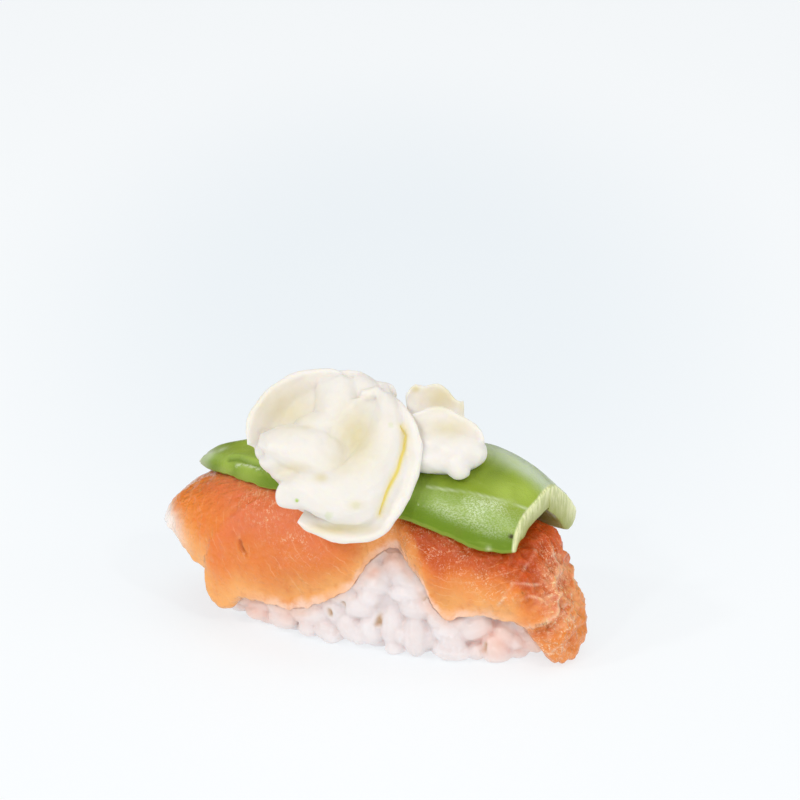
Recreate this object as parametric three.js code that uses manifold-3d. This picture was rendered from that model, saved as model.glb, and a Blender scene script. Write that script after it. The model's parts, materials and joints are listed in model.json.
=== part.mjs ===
// Salmon nigiri with avocado and cream cheese. Millimetres, +Z up, +X along the length.
// A block of pressed rice lies under a draped slice of salmon. A curved slice of avocado lies on the
// salmon, and two spooned curls of cream cheese sit on the avocado.
import * as THREE from 'three';
import { mergeVertices } from 'three/addons/utils/BufferGeometryUtils.js';
import Module from 'manifold-3d';

const wasm = await Module();
wasm.setup();

// Driving dimensions
const gap = 0.3;
const riceBlock = { reachLeft: 28, reachRight: 27.4, halfWidth: 11.8, height: 19.8, planPower: 2.6 };
const sliceForm = { reachLeft: 43.2, reachRight: 31.9, halfWidth: 11.9, height: 20.2, planPower: 2.7 };
const crownThickness = 4.3;
const rimThickness = 1.7;
const nearRimThinning = 1.1;
const rimRounding = 0.6;
const leftSectionPower = 3;
const rightSectionPower = 2.2;
const grainLength = 7;
const grainWidth = 3.5;
const grainRowStep = 3.1;
const grainsRound = 24;
const grainCover = 1;
const grainLean = 2.4;
const coreInset = 1.3;
const firstGrainHeight = 1.6;
const lastGrainHeight = 17;
const restRoom = { length: 100, width: 60, height: 40 };

// Facing of the spooned cheese: turned about the vertical, then tipped back.
const cheeseTurn = THREE.MathUtils.degToRad(24);
const cheeseTilt = THREE.MathUtils.degToRad(20);
const rosetteCentre = new THREE.Vector3(-8, -5, 29.8);
const dollopCentre = new THREE.Vector3(10.6, -0.7, 33.9);

// Lower edge of the salmon: [direction in degrees, height], 0 = right end, 90 = far side, 270 = near side
const salmonEdge = [
  [2, 2.2], [10, 3.8], [24, 5], [36, 6.8], [50, 8.4], [68, 8.8], [88, 7.2], [108, 8.4], [128, 7.6], [146, 9.5],
  [162, 12.5], [176, 14.2], [190, 14.2], [198, 13.2], [213, 12.4], [226, 10.6], [231.5, 9.3], [235.6, 9.1],
  [236.8, 7.6], [239.6, 4.2], [243.4, 3.1], [248.2, 5.6], [258.2, 4.8], [263.4, 6.2], [267.2, 8.6], [268.8, 10.2],
  [270, 13.4], [271.8, 15.9], [275, 16.4], [278, 16.3], [280.2, 15], [282.6, 13.4], [284.9, 12], [286.5, 9.6],
  [289.4, 7.7], [294, 7.4], [301, 8.4], [312, 8], [323.5, 7.1], [329, 4.6], [336, 1.9], [346, 1], [354, 1.2],
];
// The near part of that edge is drawn out thin between these directions: [starts, full, full, ends]
const thinEdge = [243, 262, 304, 330];
// Broad swells and hollows of the slice towards its right end
const salmonSwells = [
  { at: new THREE.Vector3(26.8, 3.2, 19.4), reach: 4, rise: 2.3 },
  { at: new THREE.Vector3(33, 1, 11.5), reach: 4.8, rise: -1.7 },
  { at: new THREE.Vector3(31, -7.6, 4), reach: 3.2, rise: 1.1 },
];

// Avocado slice, by distance along X: [x, then y and z of the near edge, shoulder, ridge and far edge, thickness]
const avocadoStations = [
  [-35.4, 1, 22.2, 1.8, 22.9, 3.4, 23, 5.5, 21.4, 1.2],
  [-33, -0.6, 22.2, 0.6, 24, 4.2, 24.7, 9.5, 20.5, 2.4],
  [-28, -3.6, 22.9, -1.8, 25.4, 4.2, 26.3, 11.5, 20.5, 3.2],
  [-20, -7.2, 23.2, -4.8, 27, 4.5, 28.2, 12.5, 20.8, 3.8],
  [-8, -9.6, 23.4, -6.8, 28, 4, 30, 13, 21, 4.2],
  [4, -9.8, 23.4, -6.8, 28, 4, 31.5, 13, 21, 4.2],
  [14, -10.4, 21.7, -6.9, 27.2, 3.8, 32.2, 12.8, 21, 4],
  [20, -10.2, 20.3, -6.6, 26.3, 3.7, 30.2, 12.3, 20.8, 3.7],
  [24.6, -7.9, 19.6, -5.2, 24.9, 3.6, 27.1, 11.9, 20.5, 3.5],
];
const endSlant = 0.14;
const nearEdgeThinness = 0.4;
const nearEdgeTaper = 0.35;
const endTaper = 0.14;
// Extra thickness of the far side at the right end, as a share
const farSideThickening = 0.35;

// Curls of the large rosette, in its own frame: [across, up, out]
const rosetteCurls = [
  {
    lip: [[9.6, 9.4, 2.2], [11.7, 6.6, 6], [13.2, 2.6, 7.8], [13.3, -1, 8.6], [12.1, -5, 9.4], [9.8, -9.2, 10],
      [6.8, -12.4, 9.9], [1.5, -13, 9.4], [-3.4, -11.6, 9.1], [-5.6, -10.4, 8.8]],
    root: [[6, 5, 0], [8, 3, 1.5], [8.5, 0, 3], [8.3, -3, 4.5], [6.2, -6, 5.5], [3.5, -8, 5.5], [0, -8, 5],
      [-2.4, -7.5, 5], [-3.6, -7.2, 5]],
    thickness: 2.8, bulge: -0.5,
  },
  {
    lip: [[9.6, 9.4, 1.6], [10.3, 7.2, 3.8], [10.5, 4.4, 5.8], [10.3, 0.5, 7.6], [9, -3.5, 9], [7, -7.2, 10.4],
      [4.6, -9.7, 11], [0.5, -10, 11], [-4.3, -8, 10.2], [-8.4, -6.9, 8.8]],
    root: [[6.8, 10.4, 1.4], [7.4, 9.2, 3.6], [7.4, 6.6, 5.8], [5.8, 2.8, 8.2], [4, 0, 9.6], [1.2, -2.7, 10.4],
      [-2, -3.8, 10.6], [-5.2, -3.6, 10.2], [-8.2, -4.9, 9.2]],
    thickness: 2.6, bulge: 1,
  },
  {
    lip: [[-11.6, 1.5, 7], [-9.6, 0.4, 8.6], [-7.2, -0.8, 9.4], [-4.6, -1.9, 9.8], [-1.6, -3, 9.6], [1.6, -3, 9.2]],
    root: [[-11.6, 3.2, 4.6], [-8.5, 4, 6.2], [-5.5, 4.4, 6.8], [-2.2, 4, 6.4], [0.2, 2.6, 5.8], [2.4, 1, 5.8]],
    thickness: 2.4, bulge: 1.3,
  },
  {
    lip: [[-13.6, 1.6, 4], [-13.4, 5, 3.4], [-11.6, 8.6, 2.4], [-8.8, 11.3, 1.4], [-5, 12.9, 0.7],
      [-0.6, 13.3, 0.6], [1.2, 13, 0.6]],
    root: [[-9.5, 0.5, 2.5], [-8.5, 3, 1.6], [-7, 5, 0.9], [-5, 6, 0.6], [-3, 6.5, 0.6], [-1, 7, 0.8],
      [0, 7, 0.8]],
    thickness: 2.2, bulge: -1.6,
  },
  {
    lip: [[-0.6, 13, -0.4], [3.5, 12.9, -0.6], [6.6, 11.4, 0], [8.8, 10.8, 0.5], [10.2, 9.4, 0.6]],
    root: [[0, 7, 0], [3, 7, 1], [4, 6, 2], [5, 5, 2], [6.5, 4, 2]],
    thickness: 2.2, bulge: -1,
  },
  {
    lip: [[9.8, 5.5, -4], [6.4, 9.4, -5.4], [0.4, 11, -6.2], [-6, 9.4, -5.8], [-10.8, 5, -4.6]],
    root: [[8, 1, -3], [5, 3.5, -4], [0, 4.5, -5], [-5, 3.5, -4.5], [-8.5, 0.5, -3.5]],
    thickness: 2.4, bulge: -1.6,
  },
  {
    lip: [[11.4, -0.6, -3.6], [9.4, 3, -6.6], [3.6, 6, -8.6], [-3, 6, -8.8], [-9, 1.6, -7]],
    root: [[8, -2, -2], [6, -0.5, -4.5], [2, 1, -6], [-3, 1, -6], [-7, -1, -4]],
    thickness: 2.4, bulge: -1.2,
  },
  {
    lip: [[-1.4, -2.6, 8.6], [-0.8, 0.6, 7.2], [0.2, 3.6, 6.6], [1.2, 6, 6], [3.4, 8.2, 4.8], [6.2, 9.6, 3]],
    root: [[1, -3.2, 9.6], [3.2, -1.4, 9.6], [5.2, 1.4, 8.8], [6.6, 4.2, 7.2], [7.4, 6.6, 5.6], [7.6, 8.8, 3.8]],
    thickness: 2.2, bulge: -1.5,
  },
];
// Rolled folds of the rosette: [across, up, out, radius]
const rosetteFolds = [
  [[0.6, 11, -1.4, 3.6], [0.8, 9, 0.8, 3.7], [0.3, 6.6, 2.6, 3.5], [-0.8, 4.6, 4.1, 3.1],
    [-3.4, 4.2, 5.2, 2.6], [-6.5, 4, 5, 1.9]],
  [[3.6, 10.4, -1.2, 3.2], [5, 9.4, 0.4, 3], [6.2, 8.4, 1.2, 2.4]],
  [[-8.6, -6, 8.2, 2], [-7.4, -6.1, 8.8, 2.3], [-4.8, -6.2, 9.2, 2.4], [-1.5, -6.8, 9.2, 2]],
];
const rosetteBody = [
  { centre: [0.4, 1.5, -2.6], radii: [12, 10, 7] },
  { centre: [0.5, -5.6, 3], radii: [8, 4.8, 7.6] },
  { centre: [-6, 0.6, 2], radii: [6.6, 3.4, 6.2] },
];

const dollopCurls = [
  {
    lip: [[-6.4, 3.6, 0.4], [-4.6, 4.1, 1], [-2.6, 4.8, 1.4], [-0.9, 4.6, 1.6], [0.6, 3.7, 2], [2.4, 2.8, 2.2],
      [4.2, 1.5, 2.4], [5.3, -0.3, 2.6]],
    root: [[-5.6, -1.5, 2], [-4.2, -2, 2.6], [-2.6, -2.4, 3.2], [-1, -2.6, 3.6], [0.4, -2.6, 3.8],
      [1.8, -2.6, 3.8], [3.4, -2.4, 3.4], [4.6, -2.2, 3]],
    thickness: 1.9, bulge: -1.3,
  },
  {
    lip: [[-7.2, 7.2, -3], [-5.6, 8.3, -3.4], [-4, 8, -3.6], [-2, 8.3, -3.8], [-0.6, 7.4, -3.8], [0.9, 5.8, -3.6],
      [2.3, 5.9, -3.4]],
    root: [[-6.6, 2, -2], [-5, 1.5, -2.4], [-3, 1, -2.5], [-1, 1, -2.5], [0.6, 1, -2.5], [2, 1, -2.2]],
    thickness: 1.8, bulge: -1.2,
  },
];
const dollopFolds = [
  [[0.4, -3.2, 3, 2.6], [1.2, -4.6, 3.3, 2.1], [1.6, -5.6, 3.3, 1.6], [1.8, -6.4, 3.2, 1.1]],
  [[-6, -2.4, 0.2, 2.2], [-4.4, -3, 1.4, 2.3], [-2.2, -3.3, 2.4, 2.2], [0.4, -3.4, 3, 2]],
];
const dollopBody = [
  { centre: [-0.6, -1.8, -0.8], radii: [6, 4.4, 4.6] },
  { centre: [0.9, -2.2, 1.6], radii: [5, 3.1, 3.4] },
];

// Fineness of the surfaces
const salmonMesh = { sides: 76, outsideRows: 9, insideRows: 6 };
const avocadoMesh = { steps: 22, sides: 12 };
const curlMesh = { steps: 11, sides: 4 };
const foldMesh = { steps: 8, sides: 8 };
const coreMesh = { rows: 6, sides: 28 };

// A repeatable random number from 0 to 1.
function scatter(index) {
  const value = Math.sin(index * 12.9898 + 4.1414) * 43758.5453;
  return value - Math.floor(value);
}

// Values at x on a smooth curve through stations [x, value, ...].
function along(stations, x) {
  const last = stations.length - 1;
  let i = 0;
  while (i < last - 1 && x > stations[i + 1][0]) i += 1;
  const slope = (k, c) => {
    const before = stations[Math.max(k - 1, 0)];
    const after = stations[Math.min(k + 1, last)];
    return (after[c] - before[c]) / (after[0] - before[0]);
  };
  const width = stations[i + 1][0] - stations[i][0];
  const t = THREE.MathUtils.clamp((x - stations[i][0]) / width, 0, 1);
  const values = [];
  for (let c = 1; c < stations[0].length; c += 1) {
    values.push(
      (2 * t ** 3 - 3 * t ** 2 + 1) * stations[i][c] + (t ** 3 - 2 * t ** 2 + t) * width * slope(i, c) +
      (3 * t ** 2 - 2 * t ** 3) * stations[i + 1][c] + (t ** 3 - t ** 2) * width * slope(i + 1, c),
    );
  }
  return values;
}

function signedPower(value, power) {
  return Math.sign(value) * Math.abs(value) ** power;
}

// How far a plan direction is towards the right end, 0 to 1.
function rightShare(across) {
  return THREE.MathUtils.smoothstep(across, -0.25, 0.25);
}

// Point of a rounded loaf: direction in plan, fall from the crown (0) to the foot (PI / 2), offset outwards.
function loafPoint(form, direction, fall, grow) {
  const across = signedPower(Math.cos(direction), 2 / form.planPower);
  const deep = signedPower(Math.sin(direction), 2 / form.planPower);
  const reach = THREE.MathUtils.lerp(form.reachLeft, form.reachRight, rightShare(across)) + grow;
  const power = THREE.MathUtils.lerp(leftSectionPower, rightSectionPower, rightShare(across));
  const out = Math.sin(fall) ** (2 / power);
  const up = Math.max(Math.cos(fall), 0) ** (2 / power);
  return new THREE.Vector3(reach * across * out, (form.halfWidth + grow) * deep * out, (form.height + grow) * up);
}

// Height of the loaf over a point of the plan, 0 outside it.
function loafTop(form, x, y, grow) {
  const { planPower } = form;
  const width = form.halfWidth + grow;
  const slant = Math.abs(y / width) ** planPower;
  let reach = (x > 0 ? form.reachRight : form.reachLeft) + grow;
  const across = Math.abs(x / reach) / (Math.abs(x / reach) ** planPower + slant + 1e-9) ** (1 / planPower);
  const share = rightShare(Math.sign(x) * across);
  reach = THREE.MathUtils.lerp(form.reachLeft, form.reachRight, share) + grow;
  const power = THREE.MathUtils.lerp(leftSectionPower, rightSectionPower, share);
  const out = (Math.abs(x / reach) ** planPower + slant) ** (1 / planPower);
  return (form.height + grow) * Math.max(1 - out ** power, 0) ** (1 / power);
}

// Even steps round a closed line of samples that each hold a point.
function evenly(samples, count) {
  const walked = [0];
  for (let i = 1; i < samples.length; i += 1) {
    walked.push(walked[i - 1] + samples[i].point.distanceTo(samples[i - 1].point));
  }
  const picked = [];
  let at = 0;
  for (let step = 0; step < count; step += 1) {
    while (walked[at + 1] < (step / count) * walked[walked.length - 1]) at += 1;
    picked.push(samples[at]);
  }
  return picked;
}

function fallAtHeight(form, direction, height) {
  const across = signedPower(Math.cos(direction), 2 / form.planPower);
  const power = THREE.MathUtils.lerp(leftSectionPower, rightSectionPower, rightShare(across));
  return Math.acos(Math.min(height / form.height, 1) ** (power / 2));
}

// Closed skin over rings of equal count. facing is the sum of the indices of two points that face each
// other across a thin ring: the ends are then closed by strips between them, and else by a fan.
function loft(rings, facing) {
  const count = rings[0].length;
  const positions = [];
  for (const ring of rings) for (const point of ring) positions.push(point.x, point.y, point.z);
  const faces = [];
  for (let i = 0; i < rings.length - 1; i += 1) {
    for (let j = 0; j < count; j += 1) {
      const k = (j + 1) % count;
      const [a, b, c, d] = [i * count + j, i * count + k, (i + 1) * count + k, (i + 1) * count + j];
      faces.push(a, b, c, a, c, d);
    }
  }
  const fan = (ring, start, turned) => {
    const middle = ring.reduce((sum, point) => sum.add(point), new THREE.Vector3()).divideScalar(count);
    positions.push(middle.x, middle.y, middle.z);
    const pole = positions.length / 3 - 1;
    for (let j = 0; j < count; j += 1) {
      const [here, next] = [start + j, start + ((j + 1) % count)];
      faces.push(...(turned ? [pole, next, here] : [pole, here, next]));
    }
  };
  const strips = (start, turned) => {
    for (let j = 0; j < count / 2; j += 1) {
      const corners = [j, j + 1, facing - j - 1, facing - j].map((index) => start + (index % count));
      for (const [a, b, c] of [[0, 1, 2], [0, 2, 3]]) {
        const triangle = [corners[a], corners[b], corners[c]];
        if (new Set(triangle).size === 3) faces.push(...(turned ? triangle.reverse() : triangle));
      }
    }
  };
  const lastStart = (rings.length - 1) * count;
  if (facing === undefined) {
    fan(rings[0], 0, true);
    fan(rings[rings.length - 1], lastStart, false);
  } else {
    strips(0, true);
    strips(lastStart, false);
  }
  const geometry = new THREE.BufferGeometry();
  geometry.setAttribute('position', new THREE.Float32BufferAttribute(positions, 3));
  geometry.setIndex(faces);
  return geometry;
}

// A closed body of the geometry, whichever way its faces are wound.
function solid(geometry) {
  const bare = geometry.clone();
  bare.deleteAttribute('normal');
  bare.deleteAttribute('uv');
  const merged = mergeVertices(bare, 1e-3);
  const wound = (triVerts) => new wasm.Manifold(new wasm.Mesh({
    numProp: 3, vertProperties: merged.attributes.position.array, triVerts: new Uint32Array(triVerts),
  }));
  const made = wound(merged.index.array);
  return made.volume() > 0 ? made : wound(merged.index.array.slice().reverse());
}

function geometryOf(made) {
  const mesh = made.getMesh();
  const geometry = new THREE.BufferGeometry();
  geometry.setAttribute('position', new THREE.Float32BufferAttribute(mesh.vertProperties, 3));
  geometry.setIndex(Array.from(mesh.triVerts));
  geometry.computeVertexNormals();
  return geometry;
}

function swellAt(point) {
  return salmonSwells.reduce(
    (sum, { at, reach, rise }) => sum + rise * Math.exp(-((point.distanceTo(at) / reach) ** 2)), 0,
  );
}

// Thickness of the slice at its lower edge in a direction.
function rimAt(direction) {
  const degrees = THREE.MathUtils.radToDeg(direction);
  const [starts, full, fullEnds, ends] = thinEdge;
  const thinned = THREE.MathUtils.smoothstep(degrees, starts, full)
    * (1 - THREE.MathUtils.smoothstep(degrees, fullEnds, ends));
  return rimThickness - nearRimThinning * thinned;
}

// Rings of the salmon slice: over the outside from crown to edge, round the edge, back along the inside.
function salmonRings({ spare, sides, outsideRows, insideRows, filled }) {
  const wrapped = [
    ...salmonEdge.slice(-2).map(([degrees, height]) => [degrees - 360, height]),
    ...salmonEdge,
    ...salmonEdge.slice(0, 2).map(([degrees, height]) => [degrees + 360, height]),
  ];
  const byStep = wrapped.map((station, i) => [i - 2, ...station]);
  const samples = 1440;
  const dense = Array.from({ length: samples + 1 }, (_, i) => {
    const [degrees, height] = along(byStep, (i / samples) * salmonEdge.length);
    const direction = THREE.MathUtils.degToRad(degrees);
    const fall = fallAtHeight(sliceForm, direction, height);
    return { direction, fall, point: loafPoint(sliceForm, direction, fall, rimThickness) };
  });
  const edge = evenly(dense, sides);
  const row = (share, thicknessAt, extra = 0) => edge.map(({ direction, fall }) => {
    const grow = thicknessAt(direction);
    const base = loafPoint(sliceForm, direction, fall, grow);
    const stride = loafPoint(sliceForm, direction, fall - 0.01, grow).distanceTo(base) / 0.01;
    const reached = Math.min(fall * share + extra / stride, Math.PI / 2);
    return { direction, reached, grow, point: loafPoint(sliceForm, direction, reached, grow) };
  });
  const outer = (samples) => samples.map(({ direction, reached, grow, point }) => (
    loafPoint(sliceForm, direction, reached, grow + swellAt(point))
  ));
  const rings = [];
  for (let i = 1; i <= outsideRows; i += 1) {
    const share = i / outsideRows;
    const thickness = (direction) => THREE.MathUtils.lerp(crownThickness, rimAt(direction), share ** 3) + spare;
    rings.push(outer(row(share, thickness, i === outsideRows ? spare : 0)));
  }
  rings.push(row(1, (direction) => rimAt(direction) / 2, rimRounding + spare).map(({ point }) => point));
  if (filled) return rings;
  for (let i = insideRows; i >= 1; i -= 1) {
    const inner = row(i / insideRows, () => -spare, i === insideRows ? spare : 0);
    rings.push(inner.map(({ point }) => point));
  }
  return rings;
}

// Outer line of the avocado at x, from its near edge over the ridge to its far edge.
function avocadoSection(x, { spare, sides, filled }) {
  const [nearY, nearZ, shoulderY, shoulderZ, ridgeY, ridgeZ, farY, farZ, thickness] = along(avocadoStations, x);
  const backY = THREE.MathUtils.lerp(ridgeY, farY, 0.55);
  const backZ = THREE.MathUtils.lerp(ridgeZ, farZ, 0.4);
  const bandY = THREE.MathUtils.lerp(nearY, shoulderY, 0.35);
  const bandZ = THREE.MathUtils.lerp(nearZ, shoulderZ, 0.5);
  const over = new THREE.CatmullRomCurve3([
    new THREE.Vector3(0, nearY, nearZ),
    new THREE.Vector3(0, bandY - 0.3, bandZ),
    new THREE.Vector3(0, shoulderY, shoulderZ),
    new THREE.Vector3(0, THREE.MathUtils.lerp(shoulderY, ridgeY, 0.5), THREE.MathUtils.lerp(shoulderZ, ridgeZ, 0.56)),
    new THREE.Vector3(0, ridgeY, ridgeZ),
    new THREE.Vector3(0, backY, backZ),
    new THREE.Vector3(0, farY, farZ),
  ], false, 'centripetal');
  const outer = [];
  const inner = [];
  const taper = THREE.MathUtils.lerp(nearEdgeTaper, endTaper, THREE.MathUtils.smoothstep(x, 17, 24));
  const thicker = farSideThickening * THREE.MathUtils.smoothstep(x, 12, 24);
  for (let i = 0; i <= sides; i += 1) {
    const point = over.getPointAt(i / sides);
    const tangent = over.getTangentAt(i / sides);
    const outward = new THREE.Vector3(0, -tangent.z, tangent.y);
    const thin = THREE.MathUtils.lerp(nearEdgeThinness, 1, THREE.MathUtils.smoothstep(i / sides, 0, taper))
      + thicker * THREE.MathUtils.smoothstep(i / sides, 0.35, 0.7);
    outer.push(point.clone().addScaledVector(outward, spare));
    inner.push(point.clone().addScaledVector(outward, -thickness * thin - spare));
  }
  const rightness = THREE.MathUtils.smoothstep(x, -10, 25);
  const place = (point) => {
    const shifted = x + endSlant * rightness * (point.y - nearY);
    const clear = loafTop(sliceForm, shifted, point.y, crownThickness + gap - spare);
    const salmonTop = clear + Math.max(swellAt(new THREE.Vector3(shifted, point.y, clear)), 0);
    return new THREE.Vector3(shifted, point.y, Math.max(point.z, salmonTop));
  };
  const top = outer.map(place);
  const under = filled ? top.map((point) => point.clone().setZ(0)) : inner.map(place);
  return [...top, ...under.reverse()];
}

function avocadoRings({ spare, steps, sides, filled }) {
  const start = avocadoStations[0][0] - spare;
  const end = avocadoStations[avocadoStations.length - 1][0] + spare;
  return Array.from({ length: steps + 1 }, (_, i) => {
    const x = THREE.MathUtils.lerp(start, end, i / steps);
    return avocadoSection(x, { spare, sides, filled });
  });
}

const curveThrough = (points) => new THREE.CatmullRomCurve3(
  points.map(([across, up, out]) => new THREE.Vector3(across, up, out)), false, 'centripetal',
);

// A curled sheet from its root line to its rounded lip.
function curlRings({ lip, root, thickness, bulge }) {
  const { steps, sides } = curlMesh;
  const lipLine = curveThrough(lip);
  const rootLine = curveThrough(root);
  const sheet = (along01, over01) => {
    const from = rootLine.getPoint(along01);
    const to = lipLine.getPoint(along01);
    const belly = from.clone().lerp(to, 0.5);
    belly.z += 2 * bulge;
    const left = from.multiplyScalar((1 - over01) ** 2);
    const middle = belly.multiplyScalar(2 * over01 * (1 - over01));
    return left.add(middle).add(to.multiplyScalar(over01 ** 2));
  };
  const rings = [];
  for (let i = 0; i <= steps; i += 1) {
    const u = i / steps;
    const taper = Math.min(1, 0.45 + 3 * Math.min(u, 1 - u));
    const front = [];
    const back = [];
    for (let j = 0; j <= sides; j += 1) {
      const v = j / sides;
      const point = sheet(u, v);
      const alongStep = sheet(Math.min(u + 0.02, 1), v).sub(sheet(Math.max(u - 0.02, 0), v));
      const overStep = sheet(u, Math.min(v + 0.02, 1)).sub(sheet(u, Math.max(v - 0.02, 0)));
      const normal = alongStep.cross(overStep).normalize();
      const half = (thickness / 2) * taper * (j === 0 || j === sides ? 0.6 : 1);
      front.push(point.clone().addScaledVector(normal, half));
      back.push(point.clone().addScaledVector(normal, -half));
    }
    const rounding = (thickness / 2) * taper * 0.7;
    const tip = sheet(u, 1).addScaledVector(sheet(u, 1).sub(sheet(u, 0.9)).normalize(), rounding);
    const heel = sheet(u, 0).addScaledVector(sheet(u, 0).sub(sheet(u, 0.1)).normalize(), rounding);
    rings.push([heel, ...front, tip, ...back.reverse()]);
  }
  return rings;
}

// A round roll along stations [across, up, out, radius].
function foldRings(stations) {
  const { steps, sides } = foldMesh;
  const line = curveThrough(stations);
  const radii = stations.map((station, i) => [i / (stations.length - 1), station[3]]);
  const frames = line.computeFrenetFrames(steps, false);
  const rings = [];
  for (let i = 0; i <= steps; i += 1) {
    const u = line.getUtoTmapping(i / steps);
    const round = Math.min(1, 0.5 + 4 * Math.min(i / steps, 1 - i / steps));
    const radius = along(radii, u)[0] * round;
    rings.push(Array.from({ length: sides }, (_, j) => {
      const angle = (j / sides) * 2 * Math.PI;
      return line.getPointAt(i / steps)
        .addScaledVector(frames.normals[i], radius * Math.cos(angle))
        .addScaledVector(frames.binormals[i], radius * Math.sin(angle));
    }));
  }
  return rings;
}

function egg({ centre, radii }, detail) {
  return new THREE.IcosahedronGeometry(1, detail).scale(...radii).translate(...centre);
}

// All the curls and folds of one spoonful, joined and turned to its facing.
function spoonful({ curls, folds, body, centre }) {
  const across = new THREE.Vector3(Math.cos(cheeseTurn), Math.sin(cheeseTurn), 0);
  const out = new THREE.Vector3(
    Math.sin(cheeseTurn) * Math.cos(cheeseTilt),
    -Math.cos(cheeseTurn) * Math.cos(cheeseTilt),
    Math.sin(cheeseTilt),
  );
  const up = out.clone().cross(across);
  const placed = new THREE.Matrix4().makeBasis(across, up, out).setPosition(centre);
  let joined = solid(egg(body[0], 4).applyMatrix4(placed));
  for (const lump of body.slice(1)) joined = joined.add(solid(egg(lump, 3).applyMatrix4(placed)));
  const curlRing = 2 * curlMesh.sides + 4;
  for (const curl of curls) joined = joined.add(solid(loft(curlRings(curl), curlRing).applyMatrix4(placed)));
  for (const fold of folds) joined = joined.add(solid(loft(foldRings(fold)).applyMatrix4(placed)));
  return joined;
}

// Rice grains stand proud of a plain core wherever the salmon leaves the block bare.
function riceSolid() {
  const { rows, sides } = coreMesh;
  const rings = Array.from({ length: rows }, (_, i) => (
    Array.from({ length: sides }, (__, j) => (
      loafPoint(riceBlock, (j / sides) * 2 * Math.PI, ((i + 1) / rows) * (Math.PI / 2), -coreInset)
    ))
  ));
  let joined = solid(loft(rings));
  const edgeHeight = (degrees) => along([...salmonEdge, [362, salmonEdge[0][1]]], degrees)[0];
  let seed = 0;
  for (let height = firstGrainHeight; height < lastGrainHeight; height += grainRowStep) {
    const samples = Array.from({ length: 721 }, (_, i) => {
      const direction = (i / 720) * 2 * Math.PI;
      const fall = fallAtHeight(riceBlock, direction, height);
      return { direction, fall, point: loafPoint(riceBlock, direction, fall, 0) };
    });
    for (const { direction, fall } of evenly(samples, Math.round(grainsRound - height * 0.3))) {
      seed += 1;
      if (height > edgeHeight(THREE.MathUtils.radToDeg(direction)) + grainCover) continue;
      const inset = -grainWidth / 2 + 0.3 * scatter(seed + 0.1);
      const turned = direction + 0.1 * (scatter(seed + 0.4) - 0.5);
      const centre = loafPoint(riceBlock, turned, fall, inset);
      const sideways = loafPoint(riceBlock, turned + 0.05, fall, 0).sub(loafPoint(riceBlock, turned, fall, 0));
      const outward = loafPoint(riceBlock, turned, fall, 2).sub(loafPoint(riceBlock, turned, fall, 0)).normalize();
      const lean = new THREE.Quaternion().setFromAxisAngle(outward, (scatter(seed + 0.7) - 0.5) * grainLean);
      const lengthwise = sideways.normalize().applyQuaternion(lean);
      const spin = new THREE.Quaternion().setFromUnitVectors(new THREE.Vector3(1, 0, 0), lengthwise);
      const grain = new THREE.IcosahedronGeometry(0.5, 0).scale(grainLength, grainWidth, grainWidth);
      joined = joined.add(solid(grain.applyQuaternion(spin).translate(...centre)));
    }
  }
  const room = new THREE.BoxGeometry(restRoom.length, restRoom.width, restRoom.height)
    .translate(0, 0, restRoom.height / 2);
  return joined.intersect(solid(room));
}

const salmonSolid = solid(loft(salmonRings({ spare: 0, ...salmonMesh })));
const salmonClearance = solid(loft(salmonRings({ spare: gap, ...salmonMesh })));
const salmonBlock = solid(loft(salmonRings({ spare: gap, ...salmonMesh, filled: true })));
const avocadoRing = 2 * (avocadoMesh.sides + 1);
const avocadoSolid = solid(loft(avocadoRings({ spare: 0, ...avocadoMesh }), avocadoRing - 1));
const avocadoBlock = solid(loft(avocadoRings({ spare: gap, ...avocadoMesh, filled: true }), avocadoRing - 1));
const rosette = spoonful({
  curls: rosetteCurls, folds: rosetteFolds, body: rosetteBody, centre: rosetteCentre,
});
const dollop = spoonful({
  curls: dollopCurls, folds: dollopFolds, body: dollopBody, centre: dollopCentre,
});

const group = new THREE.Group();

function addPiece(name, geometry, color, roughness) {
  const material = new THREE.MeshStandardMaterial({ color, roughness, metalness: 0 });
  const mesh = new THREE.Mesh(geometry, material);
  mesh.name = name;
  group.add(mesh);
}

addPiece('rice', geometryOf(riceSolid().subtract(salmonClearance)), 0xf3ece4, 0.45);
addPiece('salmon', geometryOf(salmonSolid), 0xe8875a, 0.35);
addPiece('avocado', geometryOf(avocadoSolid), 0x9ab850, 0.45);
const rosetteSolid = rosette.subtract(avocadoBlock).subtract(salmonBlock);
const dollopSolid = dollop.subtract(avocadoBlock).subtract(rosette);
addPiece('cream_rosette', geometryOf(rosetteSolid), 0xf7f1e2, 0.5);
addPiece('cream_dollop', geometryOf(dollopSolid), 0xf7f1e2, 0.5);

// The origin is under the middle of the whole, on the surface it rests on.
const bounds = new THREE.Box3().setFromObject(group);
const middle = bounds.getCenter(new THREE.Vector3());
group.position.set(-middle.x, -middle.y, -bounds.min.z);

export default group;
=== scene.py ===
import json
import math

import bpy
import numpy as np
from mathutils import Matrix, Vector, noise
from mathutils.bvhtree import BVHTree
from mathutils.kdtree import KDTree

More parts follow.
